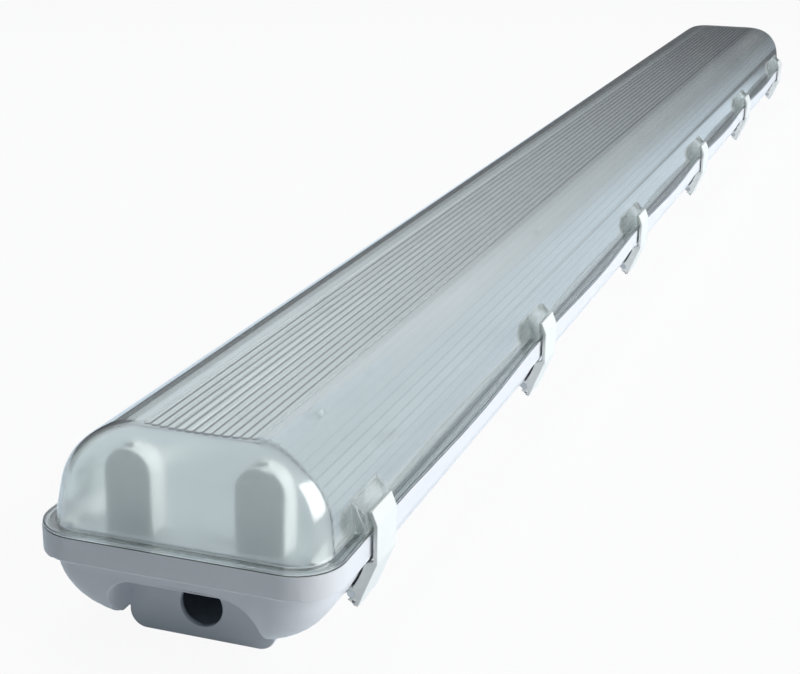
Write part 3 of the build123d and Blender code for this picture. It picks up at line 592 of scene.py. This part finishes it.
def lens_level(height, inset):
    """Half length, half width, corner radius and height of the lens wall, moved in by inset."""
    top = lens_top - inset
    crown = SIDE_CROWN - inset
    tangent = top - crown * (1 - sin(SIDE_DRAFT))
    if height < tangent:
        step = (height - parting) / (tangent - parting)
    else:
        angle = asin(min(1.0, (height - top + crown) / crown))
        step = 1 + CROWN_STEPS * (angle - SIDE_DRAFT) / (pi / 2 - SIDE_DRAFT)
    share = step / (CROWN_STEPS + 1)
    corner = FOOT_CORNER + (CROWN_CORNER - FOOT_CORNER) * share - inset
    if inset:
        corner -= INNER_CORNER_TRIM * share
    end_foot = half_length - FLANGE_WIDTH - inset / cos(END_DRAFT)
    side_foot = half_width - FLANGE_WIDTH - inset / cos(SIDE_DRAFT)
    return (reach(height, end_foot, END_DRAFT, END_CROWN - inset, top),
            reach(height, side_foot, SIDE_DRAFT, crown, top), corner, height)


def flange_level(inset, height):
    """Level of the flange or of the tongue under it, at a distance in from the rim of the housing."""
    return half_length - inset, half_width - inset, FLANGE_CORNER - inset, height


def bow(x, y):
    """How far the edge of the flange stands out between two clips of a long side."""
    along = (x - clip_start) / clip_pitch
    if abs(y) < half_width - FLANGE_WIDTH or not 0.0 < along < clip_count - 1:
        return 0.0
    return copysign(FLANGE_BOW * sin(pi * along) ** 2, y)


def stations(flat):
    """Places along a straight side, close together near its ends."""
    near = [step - flat for step in RIB_END_STEPS]
    inner = near[-1]
    middle = [inner * (1 - 2 * n / SIDE_SPANS) for n in range(1, SIDE_SPANS)]
    return near + middle + [-x for x in reversed(near)]


def lens_ring(level, across):
    """Points round one level: front side, far end, back side and near end, with their corners."""
    half_x, half_y, corner, height = level
    flat_x, flat_y = half_x - corner, half_y - corner
    turns = [pi / 2 * n / CORNER_STEPS for n in range(1, CORNER_STEPS)]
    half = [(x, -half_y) for x in stations(flat_x)]
    half += [(flat_x + corner * sin(turn), -flat_y - corner * cos(turn)) for turn in turns]
    half += [(half_x, flat_y * share) for share in across]
    half += [(flat_x + corner * cos(turn), flat_y + corner * sin(turn)) for turn in turns]
    return [(x, y, height) for x, y in half] + [(-x, -y, height) for x, y in half]


def rib_marks(low, high):
    """Distances from the middle of the lens at which the rib section has its points."""
    count = int(high / RIB_PITCH) + 1
    marks = [(n + share) * RIB_PITCH for n in range(count) for share in RIB_MARKS]
    return [mark for mark in marks if low + RIB_GROOVE / 2 < mark < high - RIB_GROOVE / 2]


def inner_heights(mark_list, flat_end):
    """Height of the inner wall at each distance round the section from the middle of the lens."""
    top = lens_top - LENS_WALL
    crown = SIDE_CROWN - LENS_WALL
    arc = crown * (pi / 2 - SIDE_DRAFT)
    heights = []
    for mark in mark_list:
        past = mark - flat_end
        if past < arc:
            heights.append(top - crown * (1 - cos(past / crown)))
        else:
            heights.append(top - crown * (1 - sin(SIDE_DRAFT)) - (past - arc) * cos(SIDE_DRAFT))
    return heights


def outer_levels():
    """Levels down the outside of the lens, from its top to the flange."""
    turn = (pi / 2 - SIDE_DRAFT) / OUTER_STEPS
    crown_heights = [lens_top - SIDE_CROWN * (1 - cos(n * turn)) for n in range(OUTER_STEPS + 1)]
    drop = (crown_heights[-1] - flange_top) / WALL_STEPS
    wall_heights = [crown_heights[-1] - n * drop for n in range(1, WALL_STEPS + 1)]
    levels = [lens_level(height, 0.0) for height in crown_heights + wall_heights]
    cap = (*(size - CAP_EDGE for size in levels[0][:3]), lens_top)
    return [cap, *levels]


def flange_levels():
    """Levels round the edge of the flange."""
    inner = FLANGE_SET_IN + FLANGE_EDGE
    return [flange_level(inset, height) for inset, height in (
        (inner, flange_top), (FLANGE_SET_IN, flange_top - FLANGE_EDGE),
        (FLANGE_SET_IN, flange_base + FLANGE_EDGE), (inner, flange_base))]


def tongue_levels():
    """Levels round the tongue that stands in the gasket."""
    inner = TONGUE_OUTER + TONGUE_WIDTH
    foot = parting - TONGUE_DEPTH
    return [flange_level(inset, height) for inset, height in (
        (TONGUE_OUTER, flange_base), (TONGUE_OUTER, foot), (inner, foot), (inner, parting))]


def mark_rib(point, layers, mark, from_end):
    """Note a point of the ribbed face: its distance round the section and from the ends of the ribs."""
    low_side = (mark - SIDE_FROST_START) / (SIDE_FROST_END - SIDE_FROST_START)
    point[layers["across"]] = mark
    point[layers["from_end"]] = from_end
    point[layers["ribbed"]] = 1.0
    point[layers["frost"]] = max(1.0 - from_end / FROST_FADE, SIDE_FROST * min(1.0, low_side), RIB_FROST)


def lens_mesh():
    """The smooth lens with the attributes that the ribs need on its inner face, and the painted shade of
    its flange.
    """
    inner_top = lens_top - LENS_WALL
    _, top_y, top_corner, _ = lens_level(inner_top, LENS_WALL)
    flat_y = top_y - top_corner
    columns = [*rib_marks(0.0, flat_y), flat_y]
    columns = [-y for y in reversed(columns)] + [0.0] + columns
    across = [y / flat_y for y in columns]
    crown = SIDE_CROWN - LENS_WALL
    foot_mark = top_y + crown * (pi / 2 - SIDE_DRAFT)
    foot_mark += (inner_top - crown * (1 - sin(SIDE_DRAFT)) - parting) / cos(SIDE_DRAFT)
    marks = [top_y, *rib_marks(top_y, foot_mark), foot_mark]

    outside, flange, tongue = outer_levels(), flange_levels(), tongue_levels()
    inside = [lens_level(height, LENS_WALL) for height in reversed(inner_heights(marks, top_y))]
    form = bmesh.new()
    names = ("across", "from_end", "ribbed", "frost", "tone")
    layers = {name: form.verts.layers.float.new(name) for name in names}
    rings = [[form.verts.new(point) for point in lens_ring(level, across)]
             for level in outside + flange + tongue + inside]
    size = len(rings[0])
    side = len(stations(1.0))
    flange_rings = rings[len(outside):len(outside) + len(flange)]
    for point in (point for ring in flange_rings for point in ring):
        out = bow(point.co.x, point.co.y)
        share = abs(out) / FLANGE_BOW
        point.co.y += out
        point[layers["frost"]] = FLANGE_FROST
        # Painted shade on the flange, darker where it bows out between the clips
        point[layers["tone"]] = END_FLANGE_SHADE + (SIDE_FLANGE_SHADE - END_FLANGE_SHADE) * share
    for upper, lower in zip(rings, rings[1:]):
        for k in range(size):
            after = (k + 1) % size
            form.faces.new((upper[k], lower[k], lower[after], upper[after]))
    form.faces.new(rings[0])
    for ring, level, mark in zip(rings[-len(inside):], inside, reversed(marks)):
        flat = level[0] - level[2]
        for point in ring:
            point[layers["frost"]] = 1.0
        for start in (0, size // 2):
            for point in ring[start:start + side]:
                mark_rib(point, layers, mark, flat - abs(point.co.x))
    close_ceiling(form, layers, rings[-1], columns)
    mesh = bpy.data.meshes.new("lens")
    form.to_mesh(mesh)
    form.free()
    return mesh


def close_ceiling(form, layers, ring, columns):
    """Close the ceiling inside a ring: a middle strip to the ends, two side strips and four corners."""
    top_x, top_y, corner, height = lens_level(lens_top - LENS_WALL, LENS_WALL)
    flat_x, flat_y = top_x - corner, top_y - corner
    side_x = stations(flat_x)
    end_x = [flat_x + corner * (n + 1) / END_SPANS for n in range(END_SPANS - 1)]
    long_x = [-x for x in reversed(end_x)] + side_x + end_x
    size, side, turns = len(ring), len(side_x), CORNER_STEPS - 1
    half = size // 2
    front = ring[:side]
    far_end = ring[side + turns:side + turns + len(columns)]
    back = ring[half:half + side][::-1]
    near_end = ring[half + side + turns:half + side + turns + len(columns)][::-1]

    strip = {}
    for y, near, far in zip(columns, near_end, far_end):
        strip[y] = [near] + [form.verts.new((x, y, height)) for x in long_x] + [far]
        bend = (1 - (abs(y) / flat_y) ** RIB_END_BEND) ** (1 / RIB_END_BEND)
        for point in strip[y]:
            mark_rib(point, layers, abs(y), flat_x + corner * bend - abs(point.co.x))
    for left, right in zip(columns, columns[1:]):
        for k in range(len(long_x) + 1):
            form.faces.new((strip[left][k], strip[right][k], strip[right][k + 1], strip[left][k + 1]))

    lead = len(end_x) + 1
    for sign, edge in ((-1, front), (1, back)):
        rows = [strip[sign * flat_y][lead:lead + side]]
        for mark in rib_marks(flat_y, top_y):
            rows.append([form.verts.new((x, sign * mark, height)) for x in side_x])
            for point in rows[-1]:
                mark_rib(point, layers, mark, flat_x - abs(point.co.x))
        rows.append(edge)
        for inside, outside in zip(rows, rows[1:]):
            for k in range(side - 1):
                quad = (inside[k], outside[k], outside[k + 1], inside[k + 1])
                form.faces.new(quad if sign > 0 else quad[::-1])

    corners = {(-1, 1): ring[side:side + turns], (1, 1): ring[half - turns:half],
               (1, -1): ring[half + side:half + side + turns], (-1, -1): ring[size - turns:]}
    for (sign_y, sign_x), arc in corners.items():
        line = strip[sign_y * flat_y]
        along = line[lead + side - 1:] if sign_x > 0 else line[:lead + 1][::-1]
        edge_end = (front if sign_y < 0 else back)[-1 if sign_x > 0 else 0]
        starts_at_side = sign_x != sign_y
        round_edge = [edge_end, *arc] if starts_at_side else [edge_end, *reversed(arc)]
        loop = round_edge + list(reversed(along))
        form.faces.new(loop[::-1] if starts_at_side else loop)


def ribbing_tree():
    """Raise ribs on the marked face of the lens, with grooves between them and rounded ends, and store
    painted shade along the grooves, at the rib ends and on the flange.
    """
    tree, given, result = open_group(
        "lens_ribbing", "GeometryNodeTree",
        {"Geometry": "Geometry", "Pitch": "Float", "Depth": "Float", "Groove": "Float", "Fade": "Float",
         "Scallop": "Float", "Top Half": "Float", "Tick Half": "Float", "Side Rise": "Float",
         "Side Middle": "Float", "Side Reach": "Float", "Side Shade": "Float", "Material": "Material"},
        {"Geometry": "Geometry"})

    def stored(name):
        """A number kept on the points of the lens."""
        return place(tree, "GeometryNodeInputNamedAttribute", {"Name": name},
                     data_type="FLOAT").outputs["Attribute"]

    across = stored("across")
    half_pitch = reckon(tree, "MULTIPLY", given.outputs["Pitch"], 0.5)
    from_groove = reckon(tree, "PINGPONG", reckon(tree, "ADD", across, half_pitch), half_pitch)
    rise = ramp(tree, from_groove, 0.0, given.outputs["Groove"])
    to_crown = reckon(tree, "DIVIDE", from_groove, half_pitch)
    crowned = reckon(tree, "MULTIPLY_ADD", to_crown, RIB_CROWN, 1.0 - RIB_CROWN)
    rounding = reckon(tree, "POWER", reckon(tree, "SUBTRACT", 1.0, to_crown), 2.0)
    rounding = reckon(tree, "MULTIPLY", rounding, given.outputs["Scallop"])
    fade = ramp(tree, reckon(tree, "SUBTRACT", stored("from_end"), rounding), 0.0, given.outputs["Fade"])
    fade = reckon(tree, "MULTIPLY", fade, stored("ribbed"))
    below_top = reckon(tree, "ADD", given.outputs["Top Half"], given.outputs["Pitch"])
    high_up = ramp(tree, across, given.outputs["Top Half"], below_top, 1.0, given.outputs["Side Rise"])
    height = reckon(tree, "MULTIPLY", reckon(tree, "MULTIPLY", rise, crowned), fade)
    height = reckon(tree, "MULTIPLY", reckon(tree, "MULTIPLY", height, high_up), given.outputs["Depth"])
    normal = place(tree, "GeometryNodeInputNormal").outputs["Normal"]
    offset = place(tree, "ShaderNodeVectorMath", {0: normal}, operation="SCALE")
    tree.links.new(height, offset.inputs["Scale"])
    # Painted shade at the rounded ends of the ribs on the top
    half_faded = reckon(tree, "MULTIPLY", fade, reckon(tree, "SUBTRACT", 1.0, fade))
    rib_end_shade = reckon(tree, "MULTIPLY", half_faded, 4.0)
    rib_end_shade = reckon(tree, "MULTIPLY", rib_end_shade, ramp(tree, to_crown, 0.0, 1.0, 1.0, RIB_LEAST_TICK))
    ticks = ramp(tree, across, given.outputs["Top Half"], given.outputs["Tick Half"], 1.0, 0.0)
    rib_end_shade = reckon(tree, "MULTIPLY", rib_end_shade, ticks)
    # Painted shade along the grooves, full on the top and fainter on the flanks, joined with the end and
    # flange shade
    groove_shade = reckon(tree, "MULTIPLY", reckon(tree, "SUBTRACT", 1.0, rise), fade)
    off_middle = reckon(tree, "ABSOLUTE", reckon(tree, "SUBTRACT", across, given.outputs["Side Middle"]))
    tone = ramp(tree, off_middle, 0.0, given.outputs["Side Reach"],
                given.outputs["Side Shade"], RIB_LEAST_SHADE)
    on_top = reckon(tree, "LESS_THAN", across, given.outputs["Top Half"])
    groove_shade = reckon(tree, "MULTIPLY", groove_shade, reckon(tree, "MAXIMUM", tone, on_top))
    groove_shade = reckon(tree, "MAXIMUM", reckon(tree, "MAXIMUM", groove_shade, rib_end_shade), stored("tone"))
    marked = place(tree, "GeometryNodeStoreNamedAttribute",
                   {"Geometry": given.outputs["Geometry"], "Name": "groove_shade", "Value": groove_shade},
                   data_type="FLOAT", domain="POINT")
    raised = place(tree, "GeometryNodeSetPosition",
                   {"Geometry": marked.outputs[0], "Offset": offset.outputs[0]})
    real = place(tree, "GeometryNodeRealizeInstances", {"Geometry": raised.outputs[0]})
    dressed = place(tree, "GeometryNodeSetMaterial",
                    {"Geometry": real.outputs[0], "Material": given.outputs["Material"]})
    tree.links.new(dressed.outputs[0], result.inputs["Geometry"])
    return tree


def grow(made, tree, values):
    """Run a geometry tree on an object with these inputs, and keep the result as its plain mesh."""
    modifier = made.modifiers.new(tree.name, "NODES")
    modifier.node_group = tree
    for item in tree.interface.items_tree:
        if item.in_out == "INPUT" and item.name in values:
            modifier[item.identifier] = values[item.name]
    made.update_tag()
    freeze(made)


def make_parting_shade_strip():
    """Thin strip of dark gasket rubber between the rim and the flange: painted shade, standing for the dark
    shade line where the lens meets the rim.
    """
    form = bmesh.new()
    inner = SHADE_STRIP_IN + SHADE_STRIP_WIDTH
    levels = [flange_level(inset, height) for inset, height in (
        (SHADE_STRIP_IN, flange_base), (SHADE_STRIP_IN, parting), (inner, parting), (inner, flange_base))]
    rings = [[form.verts.new(point) for point in lens_ring(level, (-1.0, 1.0))] for level in levels]
    for point in form.verts:
        point.co.y += bow(point.co.x, point.co.y)
    for upper, lower in zip(rings, rings[1:] + rings[:1]):
        for k, point in enumerate(upper):
            form.faces.new((upper[k - 1], lower[k - 1], lower[k], point))
    mesh = bpy.data.meshes.new("parting_shade_strip")
    form.to_mesh(mesh)
    form.free()
    shade(mesh, SHARP_ANGLE)
    shade_strip = finish_object("parting_shade_strip", mesh, finishes["gasket_foam"])
    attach(shade_strip, "root")


def make_lens():
    """The clear lens with its ribs."""
    lens = finish_object("lens", lens_mesh(), lens_clear)
    shade(lens.data, LENS_SMOOTH_ANGLE)
    grow(lens, ribbing_tree(), {"Pitch": RIB_PITCH, "Depth": RIB_DEPTH, "Groove": RIB_GROOVE,
                                "Fade": RIB_FADE, "Scallop": RIB_SCALLOP, "Top Half": RIB_TOP_HALF,
                                "Tick Half": RIB_TICK_HALF, "Side Rise": RIB_SIDE_RISE,
                                "Side Middle": RIB_SIDE_MIDDLE, "Side Reach": RIB_SIDE_REACH,
                                "Side Shade": RIB_SIDE_SHADE, "Material": lens_clear})
    shade(lens.data, RIB_SMOOTH_ANGLE)
    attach(lens, "root")
    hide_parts("diffuser")


def make_tray_trims():
    """White trims along the sides of the gear tray, which close the gap to the rim under the lens."""
    low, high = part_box("gear_tray")
    outer = half_width - RIM_WIDTH - TRIM_CLEAR
    form = bmesh.new()
    for side in (-1, 1):
        middle = (0.0, side * (high.y + outer) / 2, parting - TRIM_BELOW_RIM - TRIM_DEPTH / 2)
        sizes = (high.x - low.x, outer - high.y, TRIM_DEPTH, 1.0)
        bmesh.ops.create_cube(form, size=1.0, matrix=Matrix.Translation(middle) @ Matrix.Diagonal(sizes))
    mesh = bpy.data.meshes.new("tray_trims")
    form.to_mesh(mesh)
    form.free()
    trims = finish_object("tray_trims", mesh, finishes["holder_plastic"])
    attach(trims, "root")


def extruded(form, outline, x, width):
    """Add a prism across the fixture to a mesh, from an outline of outward and upward places."""
    faces = []
    for end in (x - width / 2, x + width / 2):
        faces.append(form.faces.new([form.verts.new((end, -out, up)) for out, up in outline]))
    count = len(outline)
    near, far = faces[0].verts[:], faces[1].verts[:]
    for k in range(count):
        form.faces.new((near[k], near[(k + 1) % count], far[(k + 1) % count], far[k]))


def seat_mesh():
    """One clip seat with its ramp, and the two gusset fins beside it, on the front side."""
    def wall(up):
        """Outward place of the middle of the lens wall, at a height over the parting."""
        return half_width - FLANGE_WIDTH - LENS_WALL / 2 - up * tan(SIDE_DRAFT)

    outer = half_width - FLANGE_SET_IN
    base = FLANGE_THICK / 2
    seat = [(wall(base), base), (outer, base), (outer, SEAT_BEND), (outer - SEAT_TOP_OUT, SEAT_TOP),
            (wall(SEAT_RISE), SEAT_RISE)]
    fin = [(wall(base), base), (outer, base), (outer, FLANGE_THICK),
           (half_width - FLANGE_WIDTH, FIN_TOP), (wall(SEAT_RISE), SEAT_RISE)]
    form = bmesh.new()
    for outline, x, width in ((seat, 0.0, SEAT_WIDTH), (fin, -FIN_SPACING / 2, FIN_THICK),
                              (fin, FIN_SPACING / 2, FIN_THICK)):
        extruded(form, [(out, parting + up) for out, up in outline], x, width)
    bmesh.ops.recalc_face_normals(form, faces=form.faces)
    long_edges = [edge for edge in form.edges if edge.calc_length() > 2 * SEAT_EDGE]
    bmesh.ops.bevel(form, geom=long_edges, offset=SEAT_EDGE / 2, segments=EDGE_SEGMENTS, profile=0.5,
                    affect="EDGES", clamp_overlap=True)
    mesh = bpy.data.meshes.new("clip_seat")
    form.to_mesh(mesh)
    form.free()
    shade(mesh, SHARP_ANGLE)
    return mesh


def seat_row_tree():
    """Repeat a seat at even steps along the front side, and turn a second row to the back side."""
    tree, given, result = open_group(
        "clip_seat_rows", "GeometryNodeTree",
        {"Geometry": "Geometry", "Count": "Int", "Start": "Float", "Pitch": "Float",
         "Material": "Material"}, {"Geometry": "Geometry"})
    start = place(tree, "ShaderNodeCombineXYZ", {"X": given.outputs["Start"]})
    step = place(tree, "ShaderNodeCombineXYZ", {"X": given.outputs["Pitch"]})
    line = place(tree, "GeometryNodeMeshLine", {"Count": given.outputs["Count"],
                                                "Start Location": start.outputs[0],
                                                "Offset": step.outputs[0]})
    rows = place(tree, "GeometryNodeJoinGeometry")
    for turn in (0.0, pi):
        row = place(tree, "GeometryNodeInstanceOnPoints",
                    {"Points": line.outputs[0], "Instance": given.outputs["Geometry"],
                     "Rotation": (0.0, 0.0, turn)})
        tree.links.new(row.outputs[0], rows.inputs[0])
    real = place(tree, "GeometryNodeRealizeInstances", {"Geometry": rows.outputs[0]})
    dressed = place(tree, "GeometryNodeSetMaterial",
                    {"Geometry": real.outputs[0], "Material": given.outputs["Material"]})
    tree.links.new(dressed.outputs[0], result.inputs["Geometry"])
    return tree


def make_seats():
    """The clip seats along both sides of the lens."""
    seats = finish_object("lens_clip_seats", seat_mesh(), seat_clear)
    grow(seats, seat_row_tree(), {"Count": clip_count, "Start": clip_start, "Pitch": clip_pitch,
                                  "Material": seat_clear})
    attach(seats, "root")


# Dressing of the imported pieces
for node, slot in slots.items():
    dressed_mesh = frame["nodes"][node].data
    dressed_mesh.materials.clear()
    dressed_mesh.materials.append(finishes[slot])


def soft_on_housing(edge):
    """Whether an edge of the housing is the lower edge of its band or the mouth of a gland pocket."""
    middle = (edge.verts[0].co + edge.verts[1].co) / 2
    on_band = abs(middle.z - band_base) < EDGE_BAND and is_outside(middle)
    on_mouth = abs(middle.y) < pocket_half + EDGE_BAND and middle.z < pocket_top + EDGE_BAND
    above_base = middle.z > LOBE_BASE + EDGE_BAND
    return on_band or (on_mouth and above_base and abs(off_body(middle)) < FLANK_WITHIN)


def is_outside(point):
    """Whether a point lies on the outside of the rim of the housing."""
    return abs(point.y) > half_width - RIM_DEEP or abs(point.x) > half_length - RIM_DEEP


def flank_arc(reach_out, depth, bulge):
    """Outward place, height and radius of the arc of an arched flank of the housing."""
    drop = band_base - LOBE_BASE
    chord = hypot(depth, drop)
    radius = (chord**2 / 4 + bulge**2) / (2 * bulge)
    inward = (radius - bulge) / chord
    return reach_out - depth / 2 - drop * inward, LOBE_BASE + drop / 2 + depth * inward, radius


side_arc = flank_arc(half_width - BODY_INSET, FLANK_DEPTH, FLANK_BULGE)
end_arc = flank_arc(half_length - BODY_INSET, END_FLANK_DEPTH, END_FLANK_BULGE)


def off_body(point):
    """Distance of a point from the flanks of the housing, outwards along its own level."""
    side_y, side_z, side_radius = side_arc
    end_x, end_z, end_radius = end_arc
    low, angle, high = (asin((z - side_z) / side_radius) for z in (LOBE_BASE, point.z, band_base))
    corner = BODY_FOOT_CORNER + (BODY_CORNER - BODY_FOOT_CORNER) * (angle - low) / (high - low)
    over_x = abs(point.x) - end_x - sqrt(end_radius**2 - (point.z - end_z) ** 2) + corner
    over_y = abs(point.y) - side_y - side_radius * cos(angle) + corner
    return hypot(max(over_x, 0.0), max(over_y, 0.0)) + min(max(over_x, over_y), 0.0) - corner


def smooth_flanks(mesh):
    """Give the facets of the arched flanks the normals of the true curve."""
    normals = [corner.vector.copy() for corner in mesh.corner_normals]
    steps = [Vector(row) * FLANK_PROBE for row in Matrix.Identity(3)]
    true_normals = {}
    for vertex in mesh.vertices:
        inside = LOBE_BASE + EDGE_BAND < vertex.co.z < band_base - HOUSING_SOFT_EDGE
        if inside and abs(off_body(vertex.co)) < FLANK_WITHIN:
            slope = [off_body(vertex.co + step) - off_body(vertex.co - step) for step in steps]
            true_normals[vertex.index] = Vector(slope).normalized()
    for face in mesh.polygons:
        on_flank = all(k in true_normals for k in face.vertices)
        for k in face.loop_indices:
            true = true_normals.get(mesh.loops[k].vertex_index)
            if true and (on_flank or true.dot(face.normal) > cos(FLANK_TURN)):
                normals[k] = true
    mesh.normals_split_custom_set(normals)


smooth_flanks(softened("housing", HOUSING_EDGE, HOUSING_SOFT_EDGE, soft_on_housing).data)
for node in slots:
    if node.startswith("clip_") and node != "clip_hinge_pins":
        softened(node, CLIP_EDGE)
    if node.startswith("lampholder_"):
        softened(node, HOLDER_EDGE)
make_lens()
make_seats()
# Painted shade: the dark strip at the parting
make_parting_shade_strip()
make_tray_trims()


# Studio: pale floor, a white surround, soft lamps, dark cards for the lens to mirror, and the camera
def seen_plainly(tree):
    """Mask of the rays that show the surround itself, and the colour that they see there."""
    rays = place(tree, "ShaderNodeLightPath")
    direct = rays.outputs["Is Camera Ray"]
    through = rays.outputs["Is Transmission Ray"]
    mirrored = rays.outputs["Is Glossy Ray"]
    colour = mix_colour(tree, through, MIRRORED, SEEN_THROUGH)
    colour = mix_colour(tree, direct, colour, WHITE)
    return reckon(tree, "MAXIMUM", reckon(tree, "MAXIMUM", direct, through), mirrored), colour


def make_world():
    """White to look at, and a cool even light on the fixture."""
    world = bpy.data.worlds.new("studio")
    bpy.context.scene.world = world
    world.use_nodes = True
    tree = world.node_tree
    tree.nodes.clear()
    light = place(tree, "ShaderNodeBackground", {"Color": AMBIENT, "Strength": 1.0})
    shown, colour = seen_plainly(tree)
    white = place(tree, "ShaderNodeBackground", {"Color": colour, "Strength": 1.0})
    mixed = place(tree, "ShaderNodeMixShader", {0: shown, 1: light.outputs[0], 2: white.outputs[0]})
    place(tree, "ShaderNodeOutputWorld", {"Surface": mixed.outputs[0]})


def flat_card(name, corners, material_made):
    """Flat four-cornered stage piece."""
    mesh = bpy.data.meshes.new(name)
    mesh.from_pydata(corners, [], [tuple(range(len(corners)))])
    card = finish_object(name, mesh, material_made)
    return card


def make_floor():
    """Pale floor that looks white and still takes the fixture's shadow."""
    made, tree, shader, output = new_material("floor_paper")
    shader.inputs["Base Color"].default_value = FLOOR_COLOUR
    shader.inputs["Roughness"].default_value = FLOOR_ROUGHNESS
    shader.inputs["Specular IOR Level"].default_value = FLOOR_SPECULAR
    shown, colour = seen_plainly(tree)
    glow = place(tree, "ShaderNodeEmission", {"Color": colour, "Strength": 1.0})
    share = reckon(tree, "MULTIPLY", shown, FLOOR_LIFT)
    mixed = place(tree, "ShaderNodeMixShader", {0: share, 1: shader.outputs[0], 2: glow.outputs[0]})
    tree.links.new(mixed.outputs[0], output.inputs["Surface"])
    side = FLOOR_SIZE / 2
    corners = [(-side, -side, 0.0), (side, -side, 0.0), (side, side, 0.0), (-side, side, 0.0)]
    flat_card("floor", corners, made)


def hide_card(card):
    """Leave a card to be seen in gloss and through glass only."""
    card.visible_camera = False
    card.visible_diffuse = False
    card.visible_shadow = False


def make_room_cards():
    """Cards beyond the far end, along the back and on the floor, out of sight, for the lens to mirror."""
    made, tree, shader, output = new_material("room_card")
    tree.nodes.remove(shader)
    along = place(tree, "ShaderNodeSeparateXYZ", {0: own_places(tree)})
    up = reckon(tree, "DIVIDE", along.outputs["Z"], ROOM_HEIGHT)
    tones = place(tree, "ShaderNodeValToRGB", {0: up})
    stops = tones.color_ramp.elements
    while len(stops) < len(ROOM_TONES):
        stops.new(1.0)
    for stop, (level, tone) in zip(stops, ROOM_TONES):
        stop.position = level
        stop.color = (*(part * tone for part in ROOM_TINT), 1.0)
    on_foot = reckon(tree, "LESS_THAN", along.outputs["Z"], CARD_FOOT)
    pale_foot = ramp(tree, along.outputs["X"], FOOT_START, FOOT_FULL, 1.0, 0.0)
    pale = reckon(tree, "MULTIPLY", pale_foot, on_foot)
    pale_side = ramp(tree, along.outputs["Y"], CARD_SIDE, CARD_SIDE_FULL, 1.0, 0.0)
    pale = reckon(tree, "MAXIMUM", pale, pale_side)
    colour = mix_colour(tree, pale, tones.outputs["Color"], MIRRORED)
    glow = place(tree, "ShaderNodeEmission", {"Color": colour, "Strength": 1.0})
    tree.links.new(glow.outputs[0], output.inputs["Surface"])
    low, high, under = CARD_FOOT, ROOM_HEIGHT, CARD_FOOT / 2
    far_card = ((CARD_FAR, CARD_SIDE, low), (CARD_FAR, CARD_BACK, low),
                (CARD_FAR, CARD_BACK, high), (CARD_FAR, CARD_SIDE, high))
    back_card = ((CARD_NEAR, CARD_BACK, low), (CARD_FAR, CARD_BACK, low),
                 (CARD_FAR, CARD_BACK, high), (CARD_NEAR, CARD_BACK, high))
    foot_card = ((FOOT_START, CARD_SIDE, under), (CARD_FAR, CARD_SIDE, under),
                 (CARD_FAR, CARD_BACK, under), (FOOT_START, CARD_BACK, under))
    for name, corners in (("far_card", far_card), ("back_card", back_card), ("foot_card", foot_card)):
        hide_card(flat_card(name, corners, made))


def area_lamp(name, place_at, size, power):
    """Soft rectangular lamp that fades out towards its edges, aimed at the fixture."""
    data = bpy.data.lights.new(name, "AREA")
    data.shape = "RECTANGLE"
    data.size, data.size_y = size
    data.energy = power
    data.use_nodes = True
    tree = data.node_tree
    tree.nodes.clear()
    over = place(tree, "ShaderNodeNewGeometry").outputs["Parametric"]
    over = place(tree, "ShaderNodeSeparateXYZ", {0: over})
    fade = [ramp(tree, reckon(tree, "PINGPONG", over.outputs[axis], 0.5), 0.0, LAMP_FADE) for axis in "XY"]
    glow = place(tree, "ShaderNodeEmission", {"Strength": reckon(tree, "MULTIPLY", *fade)})
    place(tree, "ShaderNodeOutputLight", {"Surface": glow.outputs[0]})
    lamp = bpy.data.objects.new(name, data)
    bpy.context.scene.collection.objects.link(lamp)
    lamp.location = place_at
    lamp.rotation_euler = (Vector(LAMP_AIM) - Vector(place_at)).to_track_quat("-Z", "Y").to_euler()
    return lamp


def make_camera():
    """Camera at the photograph's view: low over the near end, looking along the fixture."""
    data = bpy.data.cameras.new("camera")
    data.sensor_width = CAMERA_SENSOR
    data.lens = CAMERA_LENS
    data.clip_start, data.clip_end = CAMERA_CLIP
    camera = bpy.data.objects.new("camera", data)
    bpy.context.scene.collection.objects.link(camera)
    forward = Vector(CAMERA_FORWARD).normalized()
    level = forward.cross(Vector((0.0, 0.0, 1.0))).normalized()
    right = Matrix.Rotation(CAMERA_ROLL, 3, forward) @ level
    up = right.cross(forward)
    turn = Matrix((right, up, -forward)).transposed()
    camera.matrix_world = Matrix.Translation(CAMERA_PLACE) @ turn.to_4x4()
    bpy.context.scene.camera = camera


make_world()
make_floor()
make_room_cards()
area_lamp("key", KEY_PLACE, KEY_SIZE, KEY_POWER)
top_lamp = area_lamp("top", TOP_PLACE, TOP_SIZE, TOP_POWER)
top_lamp.visible_glossy = False
top_lamp.visible_transmission = False
make_camera()
bpy.context.scene.view_settings.view_transform = "Standard"
